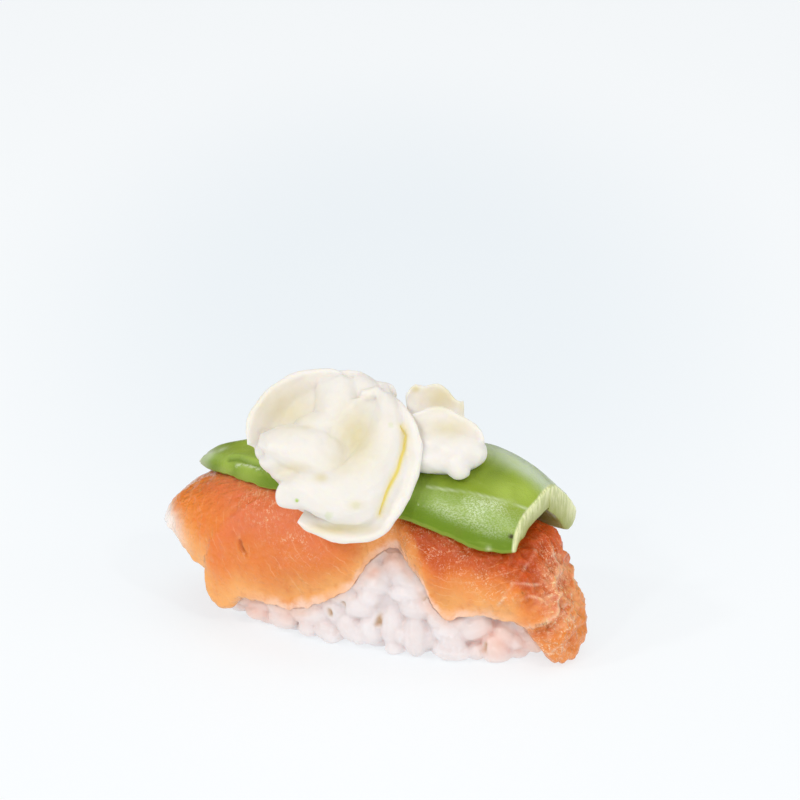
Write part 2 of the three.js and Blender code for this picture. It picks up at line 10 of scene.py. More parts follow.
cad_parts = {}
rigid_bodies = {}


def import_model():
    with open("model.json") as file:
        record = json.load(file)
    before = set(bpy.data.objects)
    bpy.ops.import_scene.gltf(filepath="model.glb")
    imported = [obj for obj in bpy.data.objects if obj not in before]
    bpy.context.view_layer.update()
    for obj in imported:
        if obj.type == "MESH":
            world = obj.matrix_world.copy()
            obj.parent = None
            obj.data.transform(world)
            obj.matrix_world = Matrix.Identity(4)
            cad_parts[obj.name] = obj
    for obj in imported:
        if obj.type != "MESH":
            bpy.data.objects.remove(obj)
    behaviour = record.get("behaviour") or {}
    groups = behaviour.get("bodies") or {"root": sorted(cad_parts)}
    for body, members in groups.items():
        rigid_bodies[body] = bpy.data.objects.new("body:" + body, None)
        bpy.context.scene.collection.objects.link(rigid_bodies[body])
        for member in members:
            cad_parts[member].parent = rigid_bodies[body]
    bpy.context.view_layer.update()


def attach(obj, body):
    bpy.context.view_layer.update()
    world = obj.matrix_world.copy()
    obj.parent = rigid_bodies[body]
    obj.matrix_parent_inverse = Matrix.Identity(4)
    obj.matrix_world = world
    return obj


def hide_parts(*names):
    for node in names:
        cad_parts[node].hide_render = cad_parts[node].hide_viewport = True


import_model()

scene = bpy.context.scene

# shapes are worked out in millimetres round the rice block, then moved to where the solids stand
placeShift = np.array([2.9156, 2.9977, 0.0])
millimetre = 0.001
farAbove = 80


# small maths that every piece shares
def smooth(value, low, high):
    share = np.clip((value - low) / (high - low), 0, 1)
    return share * share * (3 - 2 * share)


def mix(start, end, share):
    return start + (end - start) * share


def fading(distance, width):
    # 1 on a mark, falling to 0 past its width
    return np.exp(-((distance / width) ** 2))


def signedPower(value, power):
    return np.sign(value) * np.abs(value) ** power


def tint(red, green, blue):
    # 0 to 255 screen colour, turned into what a shader socket takes
    steps = np.array([red, green, blue]) / 255.0
    curved = np.where(steps <= 0.04045, steps / 12.92, ((steps + 0.055) / 1.055) ** 2.4)
    return (*curved.tolist(), 1.0)


def along(stations, x):
    # values at x on a smooth curve through rows of [x, value, ...]
    stations = np.asarray(stations, float)
    x = np.atleast_1d(np.asarray(x, float))
    at, values = stations[:, 0], stations[:, 1:]
    last = len(at) - 1
    before = np.maximum(np.arange(last + 1) - 1, 0)
    after = np.minimum(np.arange(last + 1) + 1, last)
    slope = (values[after] - values[before]) / (at[after] - at[before])[:, None]
    i = np.clip(np.searchsorted(at[1:], x, side="left"), 0, last - 1)
    width = (at[i + 1] - at[i])[:, None]
    t = np.clip((x[:, None] - at[i][:, None]) / width, 0, 1)
    return (
        (2 * t**3 - 3 * t**2 + 1) * values[i]
        + (t**3 - 2 * t**2 + t) * width * slope[i]
        + (3 * t**2 - 2 * t**3) * values[i + 1]
        + (t**3 - t**2) * width * slope[i + 1]
    )


def curvePoints(points, t):
    # centripetal curve through the points, t from 0 to 1
    points = np.asarray(points, float)
    t = np.atleast_1d(np.asarray(t, float))
    padded = np.vstack([2 * points[0] - points[1], points, 2 * points[-1] - points[-2]])
    last = len(points) - 1
    place = np.clip(t, 0, 1) * last
    i = np.minimum(place.astype(int), last - 1)
    w = (place - i)[:, None]
    p0, p1, p2, p3 = padded[i], padded[i + 1], padded[i + 2], padded[i + 3]
    d0 = np.sqrt(np.linalg.norm(p1 - p0, axis=1) + 1e-9)[:, None]
    d1 = np.sqrt(np.linalg.norm(p2 - p1, axis=1) + 1e-9)[:, None]
    d2 = np.sqrt(np.linalg.norm(p3 - p2, axis=1) + 1e-9)[:, None]
    m1 = ((p1 - p0) / d0 - (p2 - p0) / (d0 + d1) + (p2 - p1) / d1) * d1
    m2 = ((p2 - p1) / d1 - (p3 - p1) / (d1 + d2) + (p3 - p2) / d2) * d1
    return (
        p1
        + m1 * w
        + (-3 * p1 + 3 * p2 - 2 * m1 - m2) * w**2
        + (2 * p1 - 2 * p2 + m1 + m2) * w**3
    )


def walkedLength(points):
    return np.concatenate([[0], np.cumsum(np.linalg.norm(np.diff(points, axis=0), axis=1))])


def evenCurve(points, count):
    # points at even steps along the curve
    dense = curvePoints(points, np.linspace(0, 1, 40 * len(points)))
    walked = walkedLength(dense)
    want = np.linspace(0, walked[-1], count)
    return np.stack([np.interp(want, walked, dense[:, c]) for c in range(dense.shape[1])], -1)


def softNoise(points, size, seed=0.0):
    # smooth noise from about -1 to 1, with features of the given size in millimetres
    away = Vector((seed * 7.31, seed * 3.17, seed * 5.73))
    scaled = (np.asarray(points) / size).tolist()
    return np.array([noise.noise(Vector(p) + away) for p in scaled])


def lineDistance(points, stops):
    # distance from each point to a broken line, and the share of the line that lies before that spot
    best = np.full(len(points), 1e9)
    share = np.zeros(len(points))
    stops = np.asarray(stops, float)
    walked = walkedLength(stops)
    for k in range(len(stops) - 1):
        span = stops[k + 1] - stops[k]
        t = np.clip(((points - stops[k]) @ span) / (span @ span), 0, 1)
        far = np.linalg.norm(points - stops[k] - t[:, None] * span, axis=1)
        closer = far < best
        best[closer] = far[closer]
        share[closer] = ((walked[k] + t * np.linalg.norm(span)) / walked[-1])[closer]
    return best, share


def patchShare(points, patches):
    # 1 in the middle of the nearest patch, fading to 0 past its reach
    share = np.zeros(len(points))
    for *spot, reach in patches:
        share = np.maximum(share, fading(np.linalg.norm(points - spot, axis=1), reach))
    return share


# mesh helpers: a skin is points and four-cornered faces
def ringFaces(ringCount, sideCount):
    i = np.arange(ringCount - 1)[:, None] * sideCount
    j = np.arange(sideCount)[None, :]
    k = (j + 1) % sideCount
    return np.stack([i + j, i + k, i + sideCount + k, i + sideCount + j], -1).reshape(-1, 4)


def faceNormals(points, faces):
    return np.cross(points[faces[:, 2]] - points[faces[:, 0]], points[faces[:, 3]] - points[faces[:, 1]])


def pointNormals(points, faces):
    whole = faceNormals(points, faces)
    normals = np.zeros_like(points)
    for c in range(4):
        np.add.at(normals, faces[:, c], whole)
    return normals / (np.linalg.norm(normals, axis=1)[:, None] + 1e-12)


def outward(points, faces):
    # turns the faces round if the skin is inside out
    volume = 0.0
    for a, b, c in ((0, 1, 2), (0, 2, 3)):
        corners = points[faces[:, a]], points[faces[:, b]], points[faces[:, c]]
        volume += np.einsum("ij,ij->i", corners[0], np.cross(corners[1], corners[2])).sum()
    return faces if volume > 0 else faces[:, ::-1]


def makePiece(name, points, faces, material, attributes=None, fans=()):
    # fans: (centre point, ring indices), closed as triangles
    points = np.asarray(points, float)
    polygons = [tuple(dict.fromkeys(f)) for f in faces.tolist()]
    extra = []
    for centre, ring in fans:
        middle = len(points) + len(extra)
        extra.append(centre)
        polygons += [(middle, ring[k], ring[(k + 1) % len(ring)]) for k in range(len(ring))]
    if extra:
        points = np.vstack([points, extra])
    mesh = bpy.data.meshes.new(name)
    mesh.from_pydata(((points + placeShift) * millimetre).tolist(), [], polygons)
    mesh.update()
    for label, values in (attributes or {}).items():
        layer = mesh.attributes.new(label, "FLOAT", "POINT")
        filled = np.zeros(len(points), np.float32)
        filled[: len(values)] = values
        if extra:
            filled[len(values):] = [values[ring[0]] for _, ring in fans]
        layer.data.foreach_set("value", filled)
    mesh.materials.append(material)
    mesh.shade_smooth()
    piece = bpy.data.objects.new(name, mesh)
    scene.collection.objects.link(piece)
    return piece


def meshPoints(mesh):
    flat = np.zeros(len(mesh.vertices) * 3, np.float32)
    mesh.vertices.foreach_get("co", flat)
    return flat.reshape(-1, 3).astype(float) / millimetre - placeShift


def facesOf(mesh):
    faces = np.zeros(len(mesh.loops), np.int32)
    mesh.loops.foreach_get("vertex_index", faces)
    return faces.reshape(-1, 4)


def edgesOf(faces, pointCount):
    edges = np.vstack([faces[:, [0, 1]], faces[:, [1, 2]], faces[:, [2, 3]], faces[:, [3, 0]]])
    edges = np.unique(np.sort(edges, axis=1), axis=0)
    return edges, np.bincount(edges.reshape(-1), minlength=pointCount).astype(float)


def neighbourMean(values, edges, degree):
    total = np.zeros_like(values)
    np.add.at(total, edges[:, 0], values[edges[:, 1]])
    np.add.at(total, edges[:, 1], values[edges[:, 0]])
    return total / degree[:, None]


def closedSkin(rings):
    # rows of points joined into a tube, with a middle point at each end
    ringCount, count = rings.shape[:2]
    points = rings.reshape(-1, 3)
    faces = ringFaces(ringCount, count)
    middles = np.array([rings[0].mean(0), rings[-1].mean(0)])
    j = np.arange(count)
    k = (j + 1) % count
    first = np.stack([np.full(count, len(points)), k, j, j], -1)
    lastRow = (ringCount - 1) * count
    last = np.stack([np.full(count, len(points) + 1), lastRow + j, lastRow + k, lastRow + k], -1)
    points = np.vstack([points, middles])
    faces = np.vstack([faces, first, last])
    return points, outward(points, faces)


def fuseSkins(points, polygons, voxel):
    # overlapping closed skins made into one, with square faces of about the voxel's size
    mesh = bpy.data.meshes.new("blank")
    mesh.from_pydata(((points + placeShift) * millimetre).tolist(), [], polygons)
    blank = bpy.data.objects.new("blank", mesh)
    scene.collection.objects.link(blank)
    remesh = blank.modifiers.new("fuse", "REMESH")
    remesh.mode = "VOXEL"
    remesh.voxel_size = voxel * millimetre
    fused = bpy.data.meshes.new_from_object(blank.evaluated_get(bpy.context.evaluated_depsgraph_get()))
    bpy.data.objects.remove(blank)
    skin, faces = meshPoints(fused), facesOf(fused)
    bpy.data.meshes.remove(fused)
    return skin, faces


# shader helpers
class Finish:
    # a material with its main shader, and short ways to add the nodes that feed it
    def __init__(self, name):
        self.material = bpy.data.materials.new(name)
        self.material.use_nodes = True
        self.tree = self.material.node_tree
        self.shader = self.tree.nodes["Principled BSDF"]

    def add(self, kind, **settings):
        node = self.tree.nodes.new(kind)
        for key, value in settings.items():
            setattr(node, key, value)
        return node

    def link(self, source, target):
        self.tree.links.new(source, target)

    def feed(self, value, socket):
        if isinstance(value, bpy.types.NodeSocket):
            self.link(value, socket)
        else:
            socket.default_value = value

    def place(self):
        return self.add("ShaderNodeTexCoord").outputs["Object"]

    def mask(self, label, strength=None):
        mask = self.add("ShaderNodeAttribute", attribute_name=label).outputs["Fac"]
        return mask if strength is None else self.times(mask, strength)

    def maths(self, kind, first, second=0.0, third=0.0):
        node = self.add("ShaderNodeMath", operation=kind)
        for value, socket in zip((first, second, third), node.inputs):
            self.feed(value, socket)
        return node.outputs[0]

    def length(self, vector):
        node = self.add("ShaderNodeVectorMath", operation="LENGTH")
        self.link(vector, node.inputs[0])
        return node.outputs["Value"]

    def times(self, first, *others):
        for other in others:
            first = self.maths("MULTIPLY", first, other)
        return first

    def span(self, value, low, high, start=0.0, end=1.0):
        # smooth step from start to end while the value goes from low to high
        node = self.add("ShaderNodeMapRange", interpolation_type="SMOOTHSTEP")
        labels = ("Value", "From Min", "From Max", "To Min", "To Max")
        for label, given in zip(labels, (value, low, high, start, end)):
            self.feed(given, node.inputs[label])
        return node.outputs["Result"]

    def blend(self, share, first, second, kind="MIX"):
        node = self.add("ShaderNodeMix", data_type="RGBA", blend_type=kind)
        self.feed(share, node.inputs["Factor"])
        self.feed(first, node.inputs[6])
        self.feed(second, node.inputs[7])
        return node.outputs[2]

    def layers(self, colour, look, marks):
        # lays the colours of (mask, strength, name of the colour) over each other in turn
        for label, strength, shade in marks:
            colour = self.blend(self.mask(label, strength), colour, tint(*look[shade]))
        return colour

    def grey(self, value):
        node = self.add("ShaderNodeCombineColor")
        for socket in node.inputs:
            self.feed(value, socket)
        return node.outputs["Color"]

    def speckle(self, size, detail=2.0, roughness=0.5, where=None, stretch=None):
        # soft noise with features of the given size in millimetres
        place = where or self.place()
        if stretch:
            turned = self.add("ShaderNodeMapping")
            self.link(place, turned.inputs["Vector"])
            turned.inputs["Scale"].default_value = stretch
            place = turned.outputs["Vector"]
        node = self.add("ShaderNodeTexNoise")
        self.link(place, node.inputs["Vector"])
        node.inputs["Scale"].default_value = 1000.0 / size
        node.inputs["Detail"].default_value = detail
        node.inputs["Roughness"].default_value = roughness
        return node.outputs["Fac"]

    def bump(self, height, depth, under=None):
        # depth in millimetres
        node = self.add("ShaderNodeBump")
        node.inputs["Strength"].default_value = 1.0
        node.inputs["Distance"].default_value = depth * millimetre
        self.link(height, node.inputs["Height"])
        if under is not None:
            self.link(under, node.inputs["Normal"])
        return node.outputs["Normal"]

    def set(self, **values):
        for label, value in values.items():
            self.feed(value, self.shader.inputs[label.replace("_", " ")])


print("stage: camera, floor and light")
cameraLook = {
    "aim": (-0.95, 14.90, 34.20),
    "azimuth": 24.0,
    "elevation": 20.0,
    "distance": 620.0,
    "lens": 170.2,
    "sensor": 36.0,
    "nearAndFar": (0.01, 20.0),
}
studioLook = {
    "floorShadedMiddle": (236, 242, 246),
    "floorFar": (246, 249, 251),
    "floorOwnLight": 0.78,
    "ownLightByFood": 0.66,
    "floorShade": 0.25,
    "shadeByFood": 0.36,
    "floorRoughness": 0.7,
    "middlePlace": (-0.062, 0.152, 0.0),
    "middleStretch": (1.0, 2.2, 1.0),
    "middleReach": (0.025, 0.1),
    "foodStretch": (0.65, 1.0, 1.0),
    "foodReach": (0.012, 0.03),
    "skyTint": (252, 253, 255),
    "skyStrength": 0.62,
    "lampAim": (0, 0, 0.02),
    "floorSize": 4.0,
}
# each light: place in metres, width in metres, watts, colour
studioLights = {
    "overheadPanel": ((0.05, 0.25, 0.9), 0.9, 1.0, (1.0, 0.99, 0.97)),
    "frontPanel": ((0.5, -0.85, 0.3), 0.6, 1.2, (1.0, 0.99, 0.98)),
    "leftLamp": ((-0.5, -0.46, 0.62), 0.08, 1.2, (1.0, 0.99, 0.97)),
    "middleLamp": ((-0.18, -0.7, 0.57), 0.08, 1.2, (1.0, 0.99, 0.97)),
    "rightPanel": ((0.85, 0.1, 0.32), 0.6, 0.95, (1.0, 0.99, 0.98)),
    "rightLamp": ((0.58, -0.32, 0.66), 0.08, 1.0, (1.0, 0.99, 0.97)),
}


def setCamera():
    turn, tip = math.radians(cameraLook["azimuth"]), math.radians(cameraLook["elevation"])
    back = Vector((math.sin(turn) * math.cos(tip), -math.cos(turn) * math.cos(tip), math.sin(tip)))
    data = bpy.data.cameras.new("camera")
    data.lens = cameraLook["lens"]
    data.sensor_width = cameraLook["sensor"]
    data.clip_start, data.clip_end = cameraLook["nearAndFar"]
    camera = bpy.data.objects.new("camera", data)
    scene.collection.objects.link(camera)
    camera.location = (Vector(cameraLook["aim"]) + back * cameraLook["distance"]) * millimetre
    camera.rotation_euler = (-back).to_track_quat("-Z", "Y").to_euler()
    scene.camera = camera


def setStudio():
    scene.view_settings.view_transform = "Standard"
    world = bpy.data.worlds.new("paleSky")
    scene.world = world
    world.use_nodes = True
    sky = world.node_tree.nodes["Background"]
    sky.inputs["Color"].default_value = tint(*studioLook["skyTint"])
    sky.inputs["Strength"].default_value = studioLook["skyStrength"]
    world.cycles_visibility.glossy = False  # only the lamps and panels glisten
    for name, (spot, width, watts, colour) in studioLights.items():
        data = bpy.data.lights.new(name, "AREA")
        data.shape, data.size = "DISK", width
        data.energy, data.color = watts, colour
        light = bpy.data.objects.new(name, data)
        light.location = spot
        aim = Vector(spot) - Vector(studioLook["lampAim"])
        light.rotation_euler = (-aim).to_track_quat("-Z", "Y").to_euler()
        scene.collection.objects.link(light)
    look = studioLook
    finish = Finish("paleFloor")
    # painted shade: the floor is painted a touch greyer behind the food and whiter all round
    placed = finish.add("ShaderNodeMapping", vector_type="TEXTURE")
    finish.link(finish.place(), placed.inputs["Vector"])
    placed.inputs["Location"].default_value = look["middlePlace"]
    placed.inputs["Rotation"].default_value = (0.0, 0.0, math.radians(cameraLook["azimuth"]))
    placed.inputs["Scale"].default_value = look["middleStretch"]
    outwards = finish.span(finish.length(placed.outputs["Vector"]), *look["middleReach"])
    tone = finish.blend(outwards, tint(*look["floorShadedMiddle"]), tint(*look["floorFar"]))
    # by the food the floor glows less and takes more shade
    squeezed = finish.add("ShaderNodeMapping")
    finish.link(finish.place(), squeezed.inputs["Vector"])
    squeezed.inputs["Scale"].default_value = look["foodStretch"]
    away = finish.span(finish.length(squeezed.outputs["Vector"]), *look["foodReach"])
    shade = finish.span(away, 0.0, 1.0, look["shadeByFood"], look["floorShade"])
    glow = finish.span(away, 0.0, 1.0, look["ownLightByFood"], look["floorOwnLight"])
    shaded = finish.blend(1.0, tone, finish.grey(shade), "MULTIPLY")
    glowing = finish.blend(1.0, tone, finish.grey(glow), "MULTIPLY")
    finish.set(Base_Color=shaded, Roughness=look["floorRoughness"])
    finish.set(Emission_Color=glowing, Emission_Strength=1.0)
    size = look["floorSize"]
    corners = [(-size, -size, 0), (size, -size, 0), (size, size, 0), (-size, size, 0)]
    mesh = bpy.data.meshes.new("floor")
    mesh.from_pydata(corners, [], [(0, 1, 2, 3)])
    mesh.materials.append(finish.material)
    floor = bpy.data.objects.new("floor", mesh)
    scene.collection.objects.link(floor)


setCamera()
setStudio()

print("stage: salmon slice")
# the rice block and the underside of the slice are both rounded loaves, in millimetres
riceForm = {"reachLeft": 28.0, "reachRight": 27.4, "halfWidth": 11.8, "height": 19.8, "planPower": 2.6}
sliceForm = {"reachLeft": 43.2, "reachRight": 31.9, "halfWidth": 11.9, "height": 20.2, "planPower": 2.7}
sectionPowers = (3.0, 2.2)  # left end boxier, right end rounder

salmonLook = {
    "sides": 560,
    "outsideRows": 84,
    "insideRows": 22,
    "crownThickness": 4.3,
    "rimThickness": 1.7,
    "frontThinning": 1.35,
    "rimRounding": 0.5,
    "raggedEdge": 0.4,
    "crumple": 0.32,
    "softWaves": 0.3,
    "fibreRelief": 0.07,
    "fibreSpacing": 1.1,
    "membraneRise": 0.4,
    "sunkDepth": 0.6,
    "flapRise": 0.55,
    "valleyDepth": 0.95,
    "pocketDepth": 0.45,
    "slitDepth": 0.7,
    "slitLip": 0.2,
    "floorGap": 0.35,
    "fatSpacing": 0.75,
    "fatWander": 1.6,
    "roughness": (0.24, 0.42),
    "subsurface": (0.03, 0.7),  # at the thin edge, and deeper in
    "sockets": {
        "Subsurface_Radius": (1.0, 0.34, 0.12),
        "Subsurface_Scale": 0.003,
        "Specular_IOR_Level": 0.15,
        "Coat_Weight": 1.0,
        "Coat_IOR": 1.38,
        "Coat_Roughness": 0.12,
    },
    "deepestAndShaded": (198, 76, 6),
    "deep": (232, 126, 76),
    "middle": (234, 134, 56),
    "light": (247, 173, 99),
    "pale": (252, 212, 190),
    "fat": (252, 196, 142),
    "tip": (255, 248, 242),
    "mottle": (214, 92, 24),
    "grain": (250, 176, 110),
    "shadedValley": (196, 78, 26),
    "sunkAndShaded": (214, 100, 20),
    "membraneAndSheen": (255, 222, 196),
    "shadedSlit": (196, 84, 14),
    "pinkLightAndTint": (255, 190, 136),
    "glint": (255, 224, 184),
}
# lower edge, [direction in degrees, height]: 0 right end, 90 far side, 180 left end, 270 near side
salmonEdge = [
    [2, 2.2], [10, 3.8], [24, 5], [36, 6.8], [50, 8.4], [68, 8.8], [88, 7.2], [108, 8.4], [128, 7.6], [146, 9.5],
    [162, 12.5], [176, 14.2], [190, 14.2], [198, 13.2], [213, 12.4], [226, 10.6], [231.5, 9.3], [235.6, 9.1],
    [236.4, 8.2], [237.4, 6.2], [239.6, 4.2], [243.4, 3.1], [248.2, 5.6], [258.2, 4.8], [263.4, 6.2], [267.2, 8.6],
    [268.8, 10.2], [269.7, 12.4], [270.3, 14.6], [271.8, 15.9], [275, 16.4], [278, 16.3], [280.2, 15],
    [282.6, 13.4], [284.9, 12], [286.5, 9.6], [289.4, 7.7], [294, 7.4], [301, 8.4], [312, 8], [323.5, 7.1],
    [329, 4.6], [336, 1.9], [346, 1], [354, 1.2],
]  # fmt: skip


# broad swells and hollows towards the right end: [x, y, z, reach, rise]
salmonSwells = [[26.8, 3.2, 19.4, 4.0, 2.3], [33.0, 1.0, 11.5, 4.8, -1.7], [31.0, -7.6, 4.0, 3.2, 1.1]]


def swellAt(points):
    total = np.zeros(len(points))
    for *spot, reach, rise in salmonSwells:
        total += rise * fading(np.linalg.norm(points - spot, axis=1), reach)
    return total


def rightShare(across):
    return smooth(across, -0.25, 0.25)


def loafPoint(form, direction, fall, grow):
    # fall runs from the crown (0) to the foot (pi / 2)
    across = signedPower(np.cos(direction), 2 / form["planPower"])
    deep = signedPower(np.sin(direction), 2 / form["planPower"])
    share = rightShare(across)
    reach = mix(form["reachLeft"], form["reachRight"], share) + grow
    power = mix(*sectionPowers, share)
    out = np.sin(fall) ** (2 / power)
    up = np.maximum(np.cos(fall), 0) ** (2 / power)
    halfWidth, height = form["halfWidth"] + grow, form["height"] + grow
    return np.stack([reach * across * out, halfWidth * deep * out, height * up], -1)


def loafTop(form, x, y, grow):
    # height of the loaf over a point of its plan, 0 outside it
    planPower = form["planPower"]
    slant = np.abs(y / (form["halfWidth"] + grow)) ** planPower
    reach = np.where(x > 0, form["reachRight"], form["reachLeft"]) + grow
    across = np.abs(x / reach) / (np.abs(x / reach) ** planPower + slant + 1e-9) ** (1 / planPower)
    share = rightShare(np.sign(x) * across)
    reach = mix(form["reachLeft"], form["reachRight"], share) + grow
    power = mix(*sectionPowers, share)
    out = (np.abs(x / reach) ** planPower + slant) ** (1 / planPower)
    return (form["height"] + grow) * np.maximum(1 - out**power, 0) ** (1 / power)


def fallAtHeight(form, direction, height):
    across = signedPower(np.cos(direction), 2 / form["planPower"])
    power = mix(*sectionPowers, rightShare(across))
    return np.arccos(np.minimum(height / form["height"], 1) ** (power / 2))


def closedEdge():
    # the lower edge with its ends wrapped round by two stops
    before = [[degrees - 360, height] for degrees, height in salmonEdge[-2:]]
    after = [[degrees + 360, height] for degrees, height in salmonEdge[:2]]
    return before + salmonEdge + after


def edgeHeight(direction):
    return along(closedEdge(), np.degrees(direction) % 360)[:, 0]


def salmonEdgeSteps(sides):
    # directions and falls at even steps round the edge
    byStep = [[i - 2, *row] for i, row in enumerate(closedEdge())]
    degrees, height = along(byStep, np.linspace(0, len(salmonEdge), 6001)).T
    direction = np.radians(degrees)
    fall = fallAtHeight(sliceForm, direction, height)
    walked = walkedLength(loafPoint(sliceForm, direction, fall, salmonLook["rimThickness"]))
    want = np.linspace(0, walked[-1], sides, endpoint=False)
    return np.interp(want, walked, direction), np.interp(want, walked, fall)


# the slice's grain runs in rings round a point above it, unfolded over the crown
fibreForm = {"x": 14, "up": 36, "crown": 24.4, "softness": 4, "stretch": 40}


def fibreField(points):
    # distance across the fibres, and distance along them
    form = fibreForm
    unfolded = form["crown"] - (form["crown"] - points[:, 2]) * np.tanh(-points[:, 1] / form["softness"])
    sideways = points[:, 0] - form["x"]
    lengthwise = form["stretch"] * np.arctan2(sideways, form["up"] - unfolded)
    return np.hypot(sideways, unfolded - form["up"]), lengthwise


# marks on the slice, [x, y, z]: the raised edge of its near flap, which also takes a painted highlight, the valley
# beside it, and a dark pocket, both painted with shade
flapEdge = [[27.5, 0.1, 16.5], [29.2, 0.6, 14.7], [29.8, -2.7, 13.8], [30.7, -3.7, 12.2], [31.2, -5.9, 9.3],
            [29.7, -7.8, 8.2], [27.4, -8.8, 7.4], [24.0, -10.0, 8.0]]  # fmt: skip
footValley = [[28.8, 0.6, 16.8], [30.6, 0.9, 14.6], [31.1, -2.2, 13.2], [31.8, -3.6, 11.2], [32.2, -5.4, 8.4],
              [30.4, -7.8, 6.6], [27.8, -8.9, 5.8]]  # fmt: skip
darkPocket = [[26.2, -5.6, 16.6], [27.6, -5.4, 15.4], [28.2, -5.8, 14.0]]
# thin pale skins between the folds of the foot
footMembranes = [
    [[22.6, -10.3, 10.1], [24.6, -8.6, 14.1], [25.9, -6, 16.3], [25.9, -2.6, 17.5]],
    [[24.5, -8.5, 14.4], [27.5, -7.1, 14], [29.3, -4.2, 14]],
    [[26.1, -8.7, 11.8], [27.5, -7.9, 12.4], [29.6, -6.7, 11.6]],
    [[27.8, -8.6, 8.1], [29.7, -7.9, 8.2], [31.3, -6.4, 8.2]],
    [[28.7, -7.7, 4.5], [30.9, -7.3, 6.6], [32.7, -4.4, 7.4], [33.3, 1.2, 6.8]],
    [[30.7, -7.4, 3], [31.9, -6.4, 5], [32.9, -4.7, 5.9], [33.6, -1.7, 5.5]],
    [[31.9, -5.2, 8.7], [32.4, -1.1, 9.9]],
    [[28.9, 1.9, 15], [30.5, -0.6, 13.2], [31.5, -1.6, 11.5], [31.8, -4.9, 9.6]],
    [[29.9, -5.9, 11.9], [30.7, -4.4, 12.1], [31.2, -4.5, 11]],
]  # fmt: skip
# [x, y, z, reach] of the sunk places between them, darker: the gel's own deeper orange with painted shade
footPockets = [[28.3, -6.4, 13.9, 1.4], [24.7, -8, 15.1, 1.1], [31.9, -2.7, 10.5, 1.2], [30.9, -7, 7.7, 1.1],
               [27.5, -8.4, 11.1, 1.3], [33.4, -3.1, 4, 1.5]]  # fmt: skip
# the wettest bands, where glints are painted
wetBands = [
    [[-20.5, -9.2, 21.5], [-17.5, -11, 20], [-10.2, -13.2, 16.4]],
    [[4, -9.8, 20.8], [11, -9.8, 19.1], [23, -9.6, 13.3]],
    [[28, 0, 17], [29.6, -3, 14], [31.2, -4.5, 10.5], [31.6, -6.4, 7]],
    [[31.5, 0.5, 13.5], [33, -1, 9], [32.5, -4.5, 5], [30, -7.5, 4]],
]
smallSlit = [[-21.3, -12.8, 15.6], [-20.8, -13.0, 14.3], [-19.9, -13.3, 13.5]]
slitThread = [[-22.4, -11.8, 18.4], [-21.4, -12.7, 16.2], [-20.8, -13.0, 14.6]]


